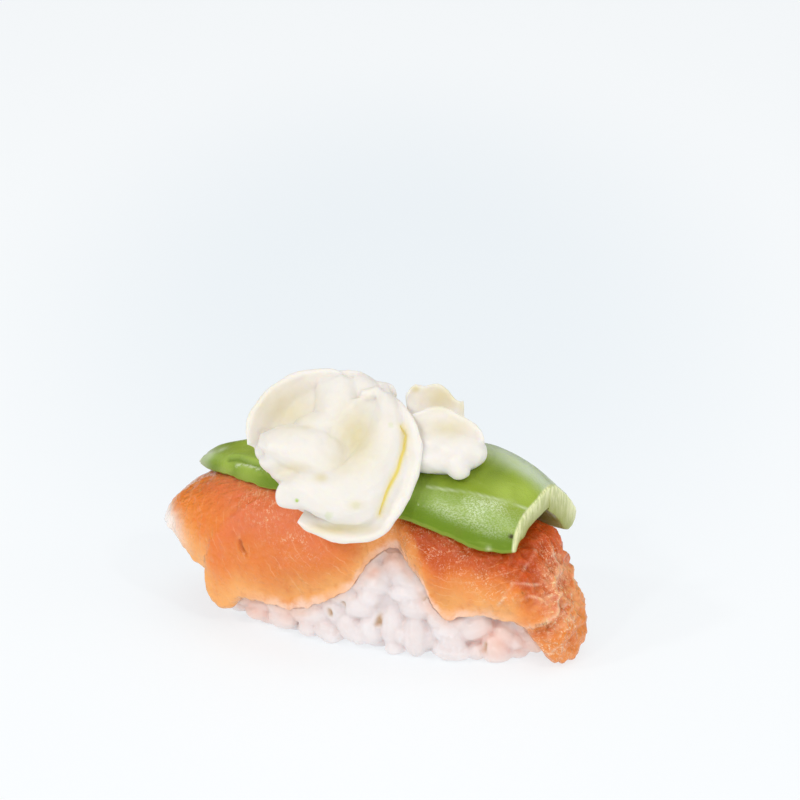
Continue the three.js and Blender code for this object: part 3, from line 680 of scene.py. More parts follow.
def salmonSkin():
    look = salmonLook
    sides = look["sides"]
    direction, fall = salmonEdgeSteps(sides)
    edgeSpots = loafPoint(sliceForm, direction, fall, look["rimThickness"])
    ragged = look["raggedEdge"] * (softNoise(edgeSpots, 2.6, 1) + 0.9 * softNoise(edgeSpots, 0.9, 2))
    # the near edge, round the notch, is drawn out thin over the rice
    degrees = np.degrees(direction) % 360
    thinned = smooth(degrees, 243, 262) * smooth(degrees, 330, 304)
    rim = look["rimThickness"] - look["frontThinning"] * thinned
    # the thickness follows a smoothed edge, so that its notches leave no crease
    window = np.hanning(sides // 4)
    calmFall = np.convolve(np.tile(fall, 3), window / window.sum(), "same")[sides : 2 * sides]

    def row(share, grow, extra=0.0):
        base = loafPoint(sliceForm, direction, fall, grow)
        stride = np.linalg.norm(loafPoint(sliceForm, direction, fall - 0.01, grow) - base, axis=1) / 0.01
        reached = fall * share + (extra + ragged * share**6) / stride
        return loafPoint(sliceForm, direction, np.clip(reached, 0, math.pi / 2), grow)

    rows, sideOf = [], []
    for share in np.linspace(0, 1, look["outsideRows"] + 1)[1:]:
        calm = np.minimum(fall * share / calmFall, 1)
        rows.append(row(share, mix(look["crownThickness"], rim, np.maximum(calm**3, share**5))))
        sideOf.append(1.0)
    rimTurns = np.radians(np.arange(22.5, 170, 22.5))
    for turn in rimTurns:
        half = rim / 2
        rounding = look["rimRounding"] * rim / look["rimThickness"]
        rows.append(row(1.0, half + half * math.cos(turn), rounding * math.sin(turn)))
        sideOf.append(0.5 + 0.5 * math.cos(turn))
    for share in np.linspace(1, 0, look["insideRows"] + 1)[:-1]:
        rows.append(row(share, 0.0))
        sideOf.append(0.0)
    points = np.vstack(rows)
    outside = np.repeat(sideOf, sides)
    faces = outward(points, ringFaces(len(rows), sides))
    normals = pointNormals(points, faces)

    # distance to the lower edge, measured over the outside
    grid = np.array(rows)
    steps = np.linalg.norm(np.diff(grid[: look["outsideRows"]], axis=0), axis=2)
    walked = np.vstack([np.zeros(sides), np.cumsum(steps, axis=0)])
    toEdge = np.zeros((len(rows), sides))
    toEdge[: look["outsideRows"]] = walked[-1] - walked
    firstInside = look["outsideRows"] + len(rimTurns)
    steps = np.linalg.norm(np.diff(grid[firstInside:], axis=0), axis=2)
    toEdge[firstInside:] = np.vstack([np.zeros(sides), np.cumsum(steps, axis=0)])
    toEdge = toEdge.reshape(-1)

    # relief
    fibre, _ = fibreField(points)
    wander = softNoise(points, 5.0, 3)
    phase = (fibre + 1.6 * wander) / look["fibreSpacing"]
    ridges = np.abs((phase % 1.0) - 0.5) * 2
    atFoot = smooth(points[:, 0], 20, 28)
    relief = look["softWaves"] * softNoise(points, 6.5, 5) + 0.09 * softNoise(points, 1.7, 6)
    relief += look["fibreRelief"] * (ridges - 0.5) * (1 - 0.6 * atFoot)
    lumpy = 0.3 + 0.7 * smooth(points[:, 0], 8, 26)
    relief += lumpy * (0.3 * softNoise(points, 2.8, 7) + 0.2 * softNoise(points, 1.2, 8))
    # sharp little folds where the slice is crumpled
    for size, seed, strength in ((2.4, 9, 1.0), (1.1, 10, 0.45)):
        folded = 1 - np.clip(np.abs(softNoise(points, size, seed)) * 4.5, 0, 2)
        relief += look["crumple"] * strength * folded * (0.12 + 0.88 * smooth(points[:, 0], 14, 25))
    membraneAndSheen = np.min([lineDistance(points, line)[0] for line in footMembranes], axis=0)
    wetGlint = np.min([lineDistance(points, line)[0] for line in wetBands], axis=0)
    ridge, shadedValley, pocket, shadedSlit = (
        lineDistance(points, line)[0] for line in (flapEdge, footValley, darkPocket, smallSlit)
    )
    sunkAndShaded = patchShare(points, footPockets)
    relief += look["membraneRise"] * fading(membraneAndSheen, 0.26)
    relief -= look["sunkDepth"] * sunkAndShaded
    relief += look["flapRise"] * fading(ridge, 0.8) - look["valleyDepth"] * fading(shadedValley, 0.75)
    relief -= look["pocketDepth"] * fading(pocket, 1.1)
    relief -= look["slitDepth"] * fading(shadedSlit, 0.25) - look["slitLip"] * fading(shadedSlit - 0.6, 0.35)
    relief += swellAt(points)
    held = outside * (0.35 + 0.65 * smooth(toEdge, 0.0, 2.0))
    points = points + normals * (relief * held)[:, None]
    points[:, 2] = np.maximum(points[:, 2], look["floorGap"])
    fans = [
        (points[:sides].mean(0), np.arange(sides).tolist()),
        (points[-sides:].mean(0), np.arange(len(points) - sides, len(points))[::-1].tolist()),
    ]
    if np.array_equal(faces[0], ringFaces(2, sides)[0]):
        fans = [(middle, ring[::-1]) for middle, ring in fans]
    attributes = {
        "toEdge": toEdge,
        "fibre": fibre + 0.8 * wander,
        "alongFibre": fibreField(points)[1],
        # painted shade in the valley beside the flap and in the dark pocket
        "shadedValley": np.maximum(fading(shadedValley, 0.9), 0.8 * fading(pocket, 1.2)),
        # painted shade inside the slit
        "shadedSlit": fading(shadedSlit, 0.2),
        "thread": fading(lineDistance(points, slitThread)[0], 0.16),
        "tip": smooth(-points[:, 0], 30, 39) * smooth(points[:, 1], 9, 3),
        "foot": smooth(points[:, 0], 23, 29),
        # right end face, where pink highlights are painted
        "rightFace": smooth(points[:, 0], 26.5, 30) * smooth(points[:, 2], 5, 9),
        # painted shade under the avocado on the right half, with the slice's own deeper orange
        "deepAndShaded": smooth(points[:, 0], 1, 9) * smooth(toEdge, 5.5, 10),
        # pale skins between the folds, and a painted highlight along the flap's raised edge
        "membraneAndSheen": np.maximum(fading(membraneAndSheen, 0.17), fading(ridge, 0.3)),
        # sunk pockets, darker: the gel's own deeper orange with painted shade
        "sunkAndShaded": sunkAndShaded,
        # where glints are painted
        "wetGlint": fading(wetGlint, 3.0),
        "thinFront": np.tile(thinned, len(rows)),
    }
    return points, faces, attributes, fans


def salmonFinish():
    look = salmonLook
    finish = Finish("moistSalmon")
    toEdge = finish.mask("toEdge")
    fibre = finish.mask("fibre")
    broad = finish.speckle(8.0, 3.0)
    mottled = finish.speckle(2.2, 4.0, 0.6)
    grain = finish.speckle(0.42, 3.0, 0.7)
    # deep under the toppings, lighter towards the lower edge
    depth = finish.maths("ADD", toEdge, finish.maths("MULTIPLY_ADD", broad, 9.0, -4.5))
    colour = finish.blend(finish.span(depth, 6.0, 15.0), tint(*look["middle"]), tint(*look["deep"]))
    # painted shade: the avocado's shade over the right half deepens the slice's own deep orange there
    colour = finish.layers(colour, look, [("deepAndShaded", 0.9, "deepestAndShaded")])
    foot = finish.mask("foot")
    lighter = finish.times(finish.span(depth, 7.5, -0.5), finish.span(foot, 0.0, 1.0, 1.0, 0.15))
    colour = finish.blend(lighter, colour, tint(*look["light"]))
    # thin near edge: the pale rice shows through
    thin = finish.maths("ADD", toEdge, finish.maths("MULTIPLY_ADD", mottled, 2.4, -1.2))
    thin = finish.times(finish.span(thin, 2.0, 0.1), finish.mask("thinFront"))
    thin = finish.times(thin, finish.span(broad, 0.35, 0.6, 0.35, 0.9))
    colour = finish.blend(thin, colour, tint(*look["pale"]))
    tip = finish.times(finish.mask("tip"), finish.span(toEdge, 4.6, 1.0))
    colour = finish.blend(tip, colour, tint(*look["tip"]))
    colour = finish.blend(finish.span(mottled, 0.5, 0.75, 0.0, 0.3), colour, tint(*look["mottle"]))
    colour = finish.blend(finish.span(grain, 0.5, 0.75, 0.0, 0.25), colour, tint(*look["grain"]))
    # fine pale fat lines along the grain
    wandering = finish.maths("ADD", fibre, finish.times(mottled, look["fatWander"]))
    line = finish.span(finish.maths("PINGPONG", wandering, look["fatSpacing"]), 0.15, 0.0)
    patchy = finish.span(finish.speckle(3.2, 2.0), 0.46, 0.62)
    fat = finish.times(line, patchy, finish.span(foot, 0.0, 0.6, 0.38, 0.0))
    colour = finish.blend(fat, colour, tint(*look["fat"]))
    # painted shade in the valley, the sunk pockets and the slit; the membrane colour also paints a highlight on the
    # flap's raised edge
    marks = [("thread", 0.6, "fat"), ("shadedValley", 0.55, "shadedValley"), ("sunkAndShaded", 0.6, "sunkAndShaded")]
    marks += [("membraneAndSheen", 0.6, "membraneAndSheen"), ("shadedSlit", 0.8, "shadedSlit")]
    colour = finish.layers(colour, look, marks)
    # painted highlights: pink-white patches on the right end face
    pinkLightAndTint = finish.times(finish.mask("rightFace"), finish.span(mottled, 0.35, 0.6, 0.15, 0.6))
    colour = finish.blend(pinkLightAndTint, colour, tint(*look["pinkLightAndTint"]))
    # painted glints: fine fibre ends and specks painted pale as highlights where the slice is wettest
    strokePlace = finish.add("ShaderNodeCombineXYZ")
    finish.link(finish.times(fibre, 0.001), strokePlace.inputs["X"])
    finish.link(finish.mask("alongFibre", 0.0004), strokePlace.inputs["Y"])
    strokes = finish.speckle(0.3, 2.0, 0.6, where=strokePlace.outputs["Vector"])
    specks = finish.speckle(0.3, 2.0, 0.7)
    glints = finish.maths("MAXIMUM", finish.span(strokes, 0.55, 0.66), finish.span(specks, 0.57, 0.68))
    glints = finish.times(glints, finish.span(finish.speckle(1.8, 3.0, 0.6), 0.42, 0.6, 0.15, 1.0))
    glints = finish.times(finish.mask("wetGlint"), glints, 0.72)
    broader = finish.span(finish.speckle(0.55, 3.0, 0.7), 0.57, 0.64)
    broader = finish.times(finish.mask("wetGlint"), foot, broader)
    glints = finish.maths("MAXIMUM", glints, finish.times(broader, 0.85))
    colour = finish.blend(glints, colour, tint(*look["glint"]))
    normal = finish.bump(finish.speckle(2.4, 2.0, 0.5), 0.4)
    normal = finish.bump(finish.speckle(0.9, 2.0, 0.5), 0.3, normal)
    normal = finish.bump(grain, 0.12, normal)
    normal = finish.bump(strokes, 0.05, normal)
    normal = finish.bump(finish.times(foot, finish.speckle(1.3, 3.0, 0.65)), 0.25, normal)
    finish.set(
        Base_Color=colour,
        Roughness=finish.span(mottled, 0.3, 0.7, *look["roughness"]),
        Subsurface_Weight=finish.span(toEdge, 1.0, 8.0, *look["subsurface"]),
        Normal=normal,
        Coat_Normal=normal,
        **look["sockets"],
    )
    return finish.material


salmonPoints, salmonFaces, salmonMasks, salmonFans = salmonSkin()
salmonPiece = makePiece("salmonSlice", salmonPoints, salmonFaces, salmonFinish(), salmonMasks, salmonFans)
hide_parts("salmon")
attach(salmonPiece, "root")

print("stage: avocado slice")
avocadoLook = {
    "steps": 210,
    "sides": 84,
    "endSlant": 0.14,
    "nearEdgeThinness": 0.4,
    "farSideThickening": 0.35,
    "endRounding": 0.4,
    "ridgeSpacing": 0.85,
    "ridgeDepth": 0.07,
    "raggedEdge": 0.35,
    "gapOverSalmon": 0.12,
    "broadWaves": 0.16,
    "shelfRise": 0.25,
    "ledgeDepth": 0.4,
    "roughness": (0.3, 0.46),
    "coat": (0.1, 0.6),  # on the near band, and over the top
    "sockets": {
        "Subsurface_Weight": 0.3,
        "Subsurface_Radius": (0.6, 0.8, 0.2),
        "Subsurface_Scale": 0.0015,
        "Specular_IOR_Level": 0.25,
        "Coat_IOR": 1.34,
        "Coat_Roughness": 0.12,
    },
    "flesh": (138, 160, 42),
    "band": (148, 174, 78),
    "rimGreen": (110, 140, 24),
    "back": (200, 211, 190),
    "cutEnd": (232, 234, 184),
    "cutStreak": (200, 206, 146),
    "edge": (172, 178, 76),
    "farEdge": (120, 150, 74),
    "paleStreak": (172, 190, 92),
    "cloud": (126, 150, 38),
    "oliveAndShade": (116, 138, 34),
    "freshAndLit": (184, 206, 92),
    "pale": (208, 222, 172),
    "shadedLedge": (104, 134, 28),
    "frostGlint": (226, 236, 204),
    "leftTip": (206, 214, 186),
    "chip": (230, 228, 196),
    "speck": (58, 36, 20),
    "under": (146, 152, 56),
}
# [x, then y and z of the near edge, shoulder, ridge and far edge, thickness]
avocadoStations = [
    [-35.4, 1, 22.2, 1.8, 22.9, 3.4, 23, 5.5, 21.4, 1.2],
    [-33, -0.6, 22.2, 0.6, 24, 4.2, 24.7, 9.5, 20.5, 2.4],
    [-28, -3.6, 22.9, -1.8, 25.4, 4.2, 26.3, 11.5, 20.5, 3.2],
    [-20, -7.2, 23.2, -4.8, 27, 4.5, 28.2, 12.5, 20.8, 3.8],
    [-8, -9.6, 23.4, -6.8, 28, 4, 30, 13, 21, 4.2],
    [4, -9.8, 23.4, -6.8, 28, 4, 31.5, 13, 21, 4.2],
    [14, -10.4, 21.7, -6.9, 27.2, 3.8, 32.2, 12.8, 21, 4],
    [20, -10.2, 20.3, -6.6, 26.1, 3.7, 30.1, 12.3, 20.8, 3.7],
    [24.6, -7.9, 19.6, -5.2, 24.2, 3.6, 26.8, 11.9, 20.5, 3.2],
]
# marks on the slice, [x, y, z]: a painted highlight streak, a torn ledge that is painted with shade, and the crest
# of the frosty band, painted as a line of glints
avocadoShine = [[-26.1, -3.9, 24.8], [-24.1, -4.4, 25.4], [-21.1, -5.8, 25.6], [-17.8, -6.9, 25.7]]
avocadoLedge = [[-28.2, -2.3, 24.9], [-26.2, -2.9, 25.5], [-24.2, -4.1, 25.7], [-21.0, -5.6, 25.9],
                [-17.5, -6.3, 26.4]]  # fmt: skip
frostCrest = [[9.3, -6.8, 27.6], [12.1, -6.6, 27.6], [18.9, -5.8, 27.2], [22.6, -4.7, 26.5], [25.4, -2.9, 24.8]]
darkSpeck, paleChip = (24.1, -7.7, 21.9), (21.2, -10.0, 20.1)
# softly darker and lighter patches: the flesh's own tone, with painted shade beside the cream and painted light on
# the top: [x, y, z, reach]
oliveAndShadePatches = [[8.5, -5.8, 28.2, 2.6], [13.1, -4.4, 28.8, 2.2], [15.6, -1.9, 29.8, 1.8],
                [-17.8, -6.2, 26.5, 1.8], [-15.5, -7.2, 26.2, 2.0], [16.0, -10.2, 22.3, 0.9],
                [18.6, -1.0, 29.4, 2.2], [-30.7, 3.1, 25.4, 0.9]]  # fmt: skip
freshAndLitPatches = [[21.4, -3.4, 27.6, 2.4], [24.0, -1.6, 26.8, 2.8], [-23.0, -4.6, 24.6, 3.4], [-26, 1, 26.6, 4.6],
                [-28.5, -3.2, 24.2, 2.4]]  # fmt: skip
palePatches = [[-33.0, 1.0, 24.0, 1.3], [-31.6, 1.6, 24.8, 1.1]]


def avocadoSection(x, spare, push):
    look = avocadoLook
    sides = look["sides"]
    nearY, nearZ, shoulderY, shoulderZ, ridgeY, ridgeZ, farY, farZ, thickness = along(avocadoStations, x)[0]
    line = np.array([
        [nearY, nearZ],
        [mix(nearY, shoulderY, 0.35) - 0.3, mix(nearZ, shoulderZ, 0.5)],
        [shoulderY, shoulderZ],
        [mix(shoulderY, ridgeY, 0.5), mix(shoulderZ, ridgeZ, 0.56)],
        [ridgeY, ridgeZ],
        [mix(ridgeY, farY, 0.55), mix(ridgeZ, farZ, 0.4)],
        [farY, farZ],
    ])  # fmt: skip
    over = evenCurve(line, sides + 1)
    tangent = np.gradient(over, axis=0)
    tangent /= np.linalg.norm(tangent, axis=1)[:, None]
    away = np.stack([-tangent[:, 1], tangent[:, 0]], -1)
    share = np.linspace(0, 1, sides + 1)
    thin = mix(look["nearEdgeThinness"], 1, smooth(share, 0, mix(0.35, 0.14, smooth(x, 17, 24))))
    thin += look["farSideThickening"] * smooth(x, 12, 24) * smooth(share, 0.35, 0.7)
    outer = over + away * spare
    inner = over - away * (thickness * thin + spare)[:, None]

    def roundEnd(first, last, heading):
        # a few points round the bare edge between outside and inside
        middle, half = (first + last) / 2, (first - last) / 2
        reach = np.linalg.norm(half) * 0.7
        turns = np.radians([36, 72, 108, 144])
        return middle + np.cos(turns)[:, None] * half + np.sin(turns)[:, None] * heading * reach

    farEnd = roundEnd(outer[-1], inner[-1], tangent[-1])
    nearEnd = roundEnd(inner[0], outer[0], -tangent[0])
    ring = np.vstack([outer, farEnd, inner[::-1], nearEnd])
    across = np.concatenate([share, np.ones(4), share[::-1], np.zeros(4)])
    fade = [0.8, 0.6, 0.4, 0.2]
    isOuter = np.concatenate([np.ones(sides + 1), fade, np.zeros(sides + 1), fade[::-1]])
    rightness = smooth(x, -10, 25)
    shifted = x + push + look["endSlant"] * rightness * (ring[:, 0] - nearY)
    clear = loafTop(sliceForm, shifted, ring[:, 0], salmonLook["crownThickness"] + look["gapOverSalmon"])
    raised = np.maximum(swellAt(np.stack([shifted, ring[:, 0], clear], -1)), 0)
    points = np.stack([shifted, ring[:, 0], np.maximum(ring[:, 1], clear + raised)], -1)
    return points, across, isOuter


def avocadoSkin():
    look = avocadoLook
    start, end = avocadoStations[0][0], avocadoStations[-1][0]
    rounding = look["endRounding"]
    stops = []
    for turn in np.radians([90, 60, 30]):
        stops.append((start, -rounding * (1 - math.cos(turn)) * 0.9, -rounding * math.sin(turn) + rounding))
    stops += [(x, 0.0, 0.0) for x in np.linspace(start + rounding, end - rounding, look["steps"])]
    for turn in np.radians([30, 60, 90]):
        stops.append((end, -rounding * (1 - math.cos(turn)) * 0.9, rounding * math.sin(turn) - rounding))
    rings = [avocadoSection(*stop) for stop in stops]
    count = len(rings[0][0])
    points = np.vstack([ring[0] for ring in rings])
    across = np.concatenate([ring[1] for ring in rings])
    isOuter = np.concatenate([ring[2] for ring in rings])
    lengthwise = np.repeat([stop[0] for stop in stops], count)
    faces = ringFaces(len(rings), count)
    normals = pointNormals(points, outward(points, faces))

    onBand = isOuter * smooth(across, 0.02, 0.08) * smooth(across, 0.3, 0.2)
    onTop = isOuter * smooth(across, 0.26, 0.36)
    slanted = (points[:, 0] + 0.7 * points[:, 2]) / look["ridgeSpacing"] + 0.8 * softNoise(points, 2.2, 11)
    ridges = np.abs(slanted % 1.0 - 0.5) * 2
    relief = look["ridgeDepth"] * (ridges - 0.5) * onBand
    relief += look["broadWaves"] * softNoise(points, 6.0, 12) * isOuter + 0.05 * softNoise(points, 1.3, 13) * onBand
    streaks = softNoise(points * np.array([0.12, 1.0, 1.0]), 0.9, 14)
    relief += 0.05 * streaks * onTop
    # a torn ledge along the left half
    shadedLedge, _ = lineDistance(points, avocadoLedge)
    shelf, _ = lineDistance(points, avocadoLedge + np.array([0, 0.5, 0.6]))
    relief += isOuter * (look["shelfRise"] * fading(shelf, 0.6) - look["ledgeDepth"] * fading(shadedLedge, 0.4))
    atEnd = smooth(lengthwise, end - 0.6, end - 0.2)
    dents = softNoise(points, 1.6, 15)
    points = points + normals * relief[:, None]
    points[:, 0] += atEnd * 0.05 * dents
    # the near edge is torn a little
    lengths = points * np.array([1, 0, 0])
    torn = softNoise(lengths, 3.0, 17) + 0.5 * softNoise(lengths, 1.2, 18)
    hem = smooth(across, 0.07, 0.0) * smooth(points[:, 0], -33, -28)
    points[:, 2] -= look["raggedEdge"] * (torn - 0.1) * hem
    startCap, endCap = stripRing(0, look["sides"])[:, ::-1], stripRing(len(points) - count, look["sides"])
    faces = outward(points, np.vstack([faces, startCap, endCap]))
    # where glints are painted over the frosty near band, below its crest
    glintCrest = np.array(frostCrest)
    crestHeight = np.interp(points[:, 0], glintCrest[:, 0], glintCrest[:, 2])
    frostGlint = isOuter * smooth(across, 0.04, 0.13) * smooth(crestHeight - points[:, 2], -0.3, 0.5)
    frostGlint = frostGlint * smooth(points[:, 0], 8, 12) * smooth(across, 0.45, 0.35)
    frostGlint = frostGlint * np.clip(0.75 + 1.4 * softNoise(points, 4.0, 16), 0.2, 1)
    attributes = {
        "across": across,
        "outer": isOuter,
        "cutEnd": smooth(lengthwise, end - 0.25, end - 0.02) + smooth(lengthwise, start + 0.25, start + 0.02),
        # painted glints: the frosty band, its crest line and the shine streak
        "frostGlint": frostGlint,
        "glintCrest": fading(lineDistance(points, frostCrest)[0], 0.25),
        "shine": fading(lineDistance(points, avocadoShine)[0], 0.3),
        # painted shade under the torn ledge
        "shadedLedge": isOuter * fading(shadedLedge, 0.45),
        "pale": patchShare(points, palePatches),
        "speck": np.exp(-((np.linalg.norm((points - darkSpeck) * [1, 1, 1.2], axis=1) / 0.48) ** 4)),
        "chip": fading(np.linalg.norm(points - paleChip, axis=1), 0.4),
        # painted shade beside the cream in the olive patches, painted light in the fresh ones, with the flesh's own
        # tone
        "oliveAndShade": patchShare(points, oliveAndShadePatches),
        "freshAndLit": patchShare(points, freshAndLitPatches),
        "leftTip": isOuter * smooth(points[:, 0], -31.5, -35),
    }
    return points, faces, attributes


def stripRing(first, sides):
    # closes an end of the slice: strips across its thickness, and the two round edges
    faces = []
    for j in range(sides):
        faces.append([j, j + 1, 2 * sides + 4 - j, 2 * sides + 5 - j])
    far = [sides, sides + 1, sides + 2, sides + 3, sides + 4, sides + 5]
    near = [2 * sides + 6 + k for k in range(4)]
    faces += [[far[0], far[1], far[4], far[5]], [far[1], far[2], far[3], far[4]]]
    faces += [[2 * sides + 5, near[0], near[3], 0], [near[0], near[1], near[2], near[3]]]
    return first + np.array(faces)


def avocadoFinish():
    look = avocadoLook
    finish = Finish("avocadoFlesh")
    across = finish.mask("across")
    outer = finish.mask("outer")
    cloudy = finish.speckle(5.0, 3.0)
    fine = finish.speckle(0.7, 3.0, 0.6)
    wobble = finish.maths("MULTIPLY_ADD", cloudy, 0.1, -0.05)
    line = finish.maths("ADD", across, wobble)
    colour = finish.blend(finish.span(line, 0.04, 0.15), tint(*look["rimGreen"]), tint(*look["band"]))
    colour = finish.blend(finish.span(across, 0.01, 0.002, 0.0, 0.25), colour, tint(*look["edge"]))
    colour = finish.blend(finish.span(line, 0.17, 0.27), colour, tint(*look["flesh"]))
    # pale over the ridge and greener again behind it
    overRidge = finish.times(finish.span(line, 0.42, 0.56, 0.0, 0.85), finish.span(line, 0.8, 0.58, 0.3, 1.0))
    colour = finish.blend(overRidge, colour, tint(*look["back"]))
    colour = finish.blend(finish.span(line, 0.9, 1.0), colour, tint(*look["farEdge"]))
    streaks = finish.speckle(1.6, 3.0, 0.6, stretch=(0.12, 1.0, 1.0))
    colour = finish.blend(finish.span(streaks, 0.5, 0.75, 0.0, 0.3), colour, tint(*look["paleStreak"]))
    colour = finish.blend(finish.span(cloudy, 0.5, 0.8, 0.0, 0.4), colour, tint(*look["cloud"]))
    # olive patches hold painted shade beside the cream, fresh patches painted light, and the ledge painted shade
    # under its overhang
    marks = [("oliveAndShade", 0.7, "oliveAndShade"), ("freshAndLit", 0.55, "freshAndLit"), ("pale", 0.7, "pale"), ("shadedLedge", 0.6, "shadedLedge")]
    colour = finish.layers(colour, look, marks)
    # painted highlights: fine frosty ripples on the near band, a line along its crest and the shine streak
    ripples = finish.speckle(0.2, 2.0, 0.6, stretch=(0.6, 1.0, 1.0))
    frostGlint = finish.times(finish.mask("frostGlint"), finish.span(ripples, 0.42, 0.6, 0.15, 0.85))
    frostGlint = finish.maths("MAXIMUM", frostGlint, finish.mask("glintCrest", 0.7))
    frostGlint = finish.maths("MAXIMUM", frostGlint, finish.times(finish.mask("shine"), finish.span(fine, 0.4, 0.6)))
    colour = finish.blend(finish.times(frostGlint, 0.75), colour, tint(*look["frostGlint"]))
    marks = [("leftTip", 0.6, "leftTip"), ("chip", None, "chip"), ("speck", None, "speck")]
    colour = finish.layers(colour, look, marks)
    endStreaks = finish.speckle(0.6, 3.0, 0.6, stretch=(1.0, 1.0, 0.25))
    cut = finish.blend(finish.span(endStreaks, 0.4, 0.62), tint(*look["cutEnd"]), tint(*look["cutStreak"]))
    colour = finish.blend(finish.mask("cutEnd"), colour, cut)
    under = finish.maths("SUBTRACT", 1.0, outer)
    colour = finish.blend(finish.times(under, 0.9), colour, tint(*look["under"]))
    normal = finish.bump(ripples, 0.09)
    normal = finish.bump(streaks, 0.12, normal)
    normal = finish.bump(endStreaks, 0.05, normal)
    finish.set(
        Base_Color=colour,
        Roughness=finish.span(fine, 0.3, 0.7, *look["roughness"]),
        Coat_Weight=finish.span(across, 0.2, 0.36, *look["coat"]),
        Normal=normal,
        **look["sockets"],
    )
    return finish.material


avocadoPoints, avocadoFaces, avocadoMasks = avocadoSkin()
avocadoPiece = makePiece("avocadoSlice", avocadoPoints, avocadoFaces, avocadoFinish(), avocadoMasks)
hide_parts("avocado")
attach(avocadoPiece, "root")

print("stage: cream cheese")
creamLook = {
    "turn": 24.0,
    "tip": 20.0,
    "voxel": 0.24,
    "settle": 5,
    "hollowSettle": 60,
    "clearance": 0.06,
    "lipWaves": 0.22,
    "skinWaves": 0.07,
    "strokes": 0.07,
    "creviceDepth": 0.3,
    "roughness": (0.4, 0.55),
    "sockets": {
        "Subsurface_Weight": 0.5,
        "Subsurface_Radius": (1.0, 0.75, 0.4),
        "Subsurface_Scale": 0.0018,
    },
    "ivory": (235, 231, 225),
    "hollowShade": (220, 204, 166),
    "yellowShade": (222, 210, 168),
    "creviceShade": (238, 216, 64),
    "smear": (176, 204, 96),
    "warm": (228, 220, 206),
}
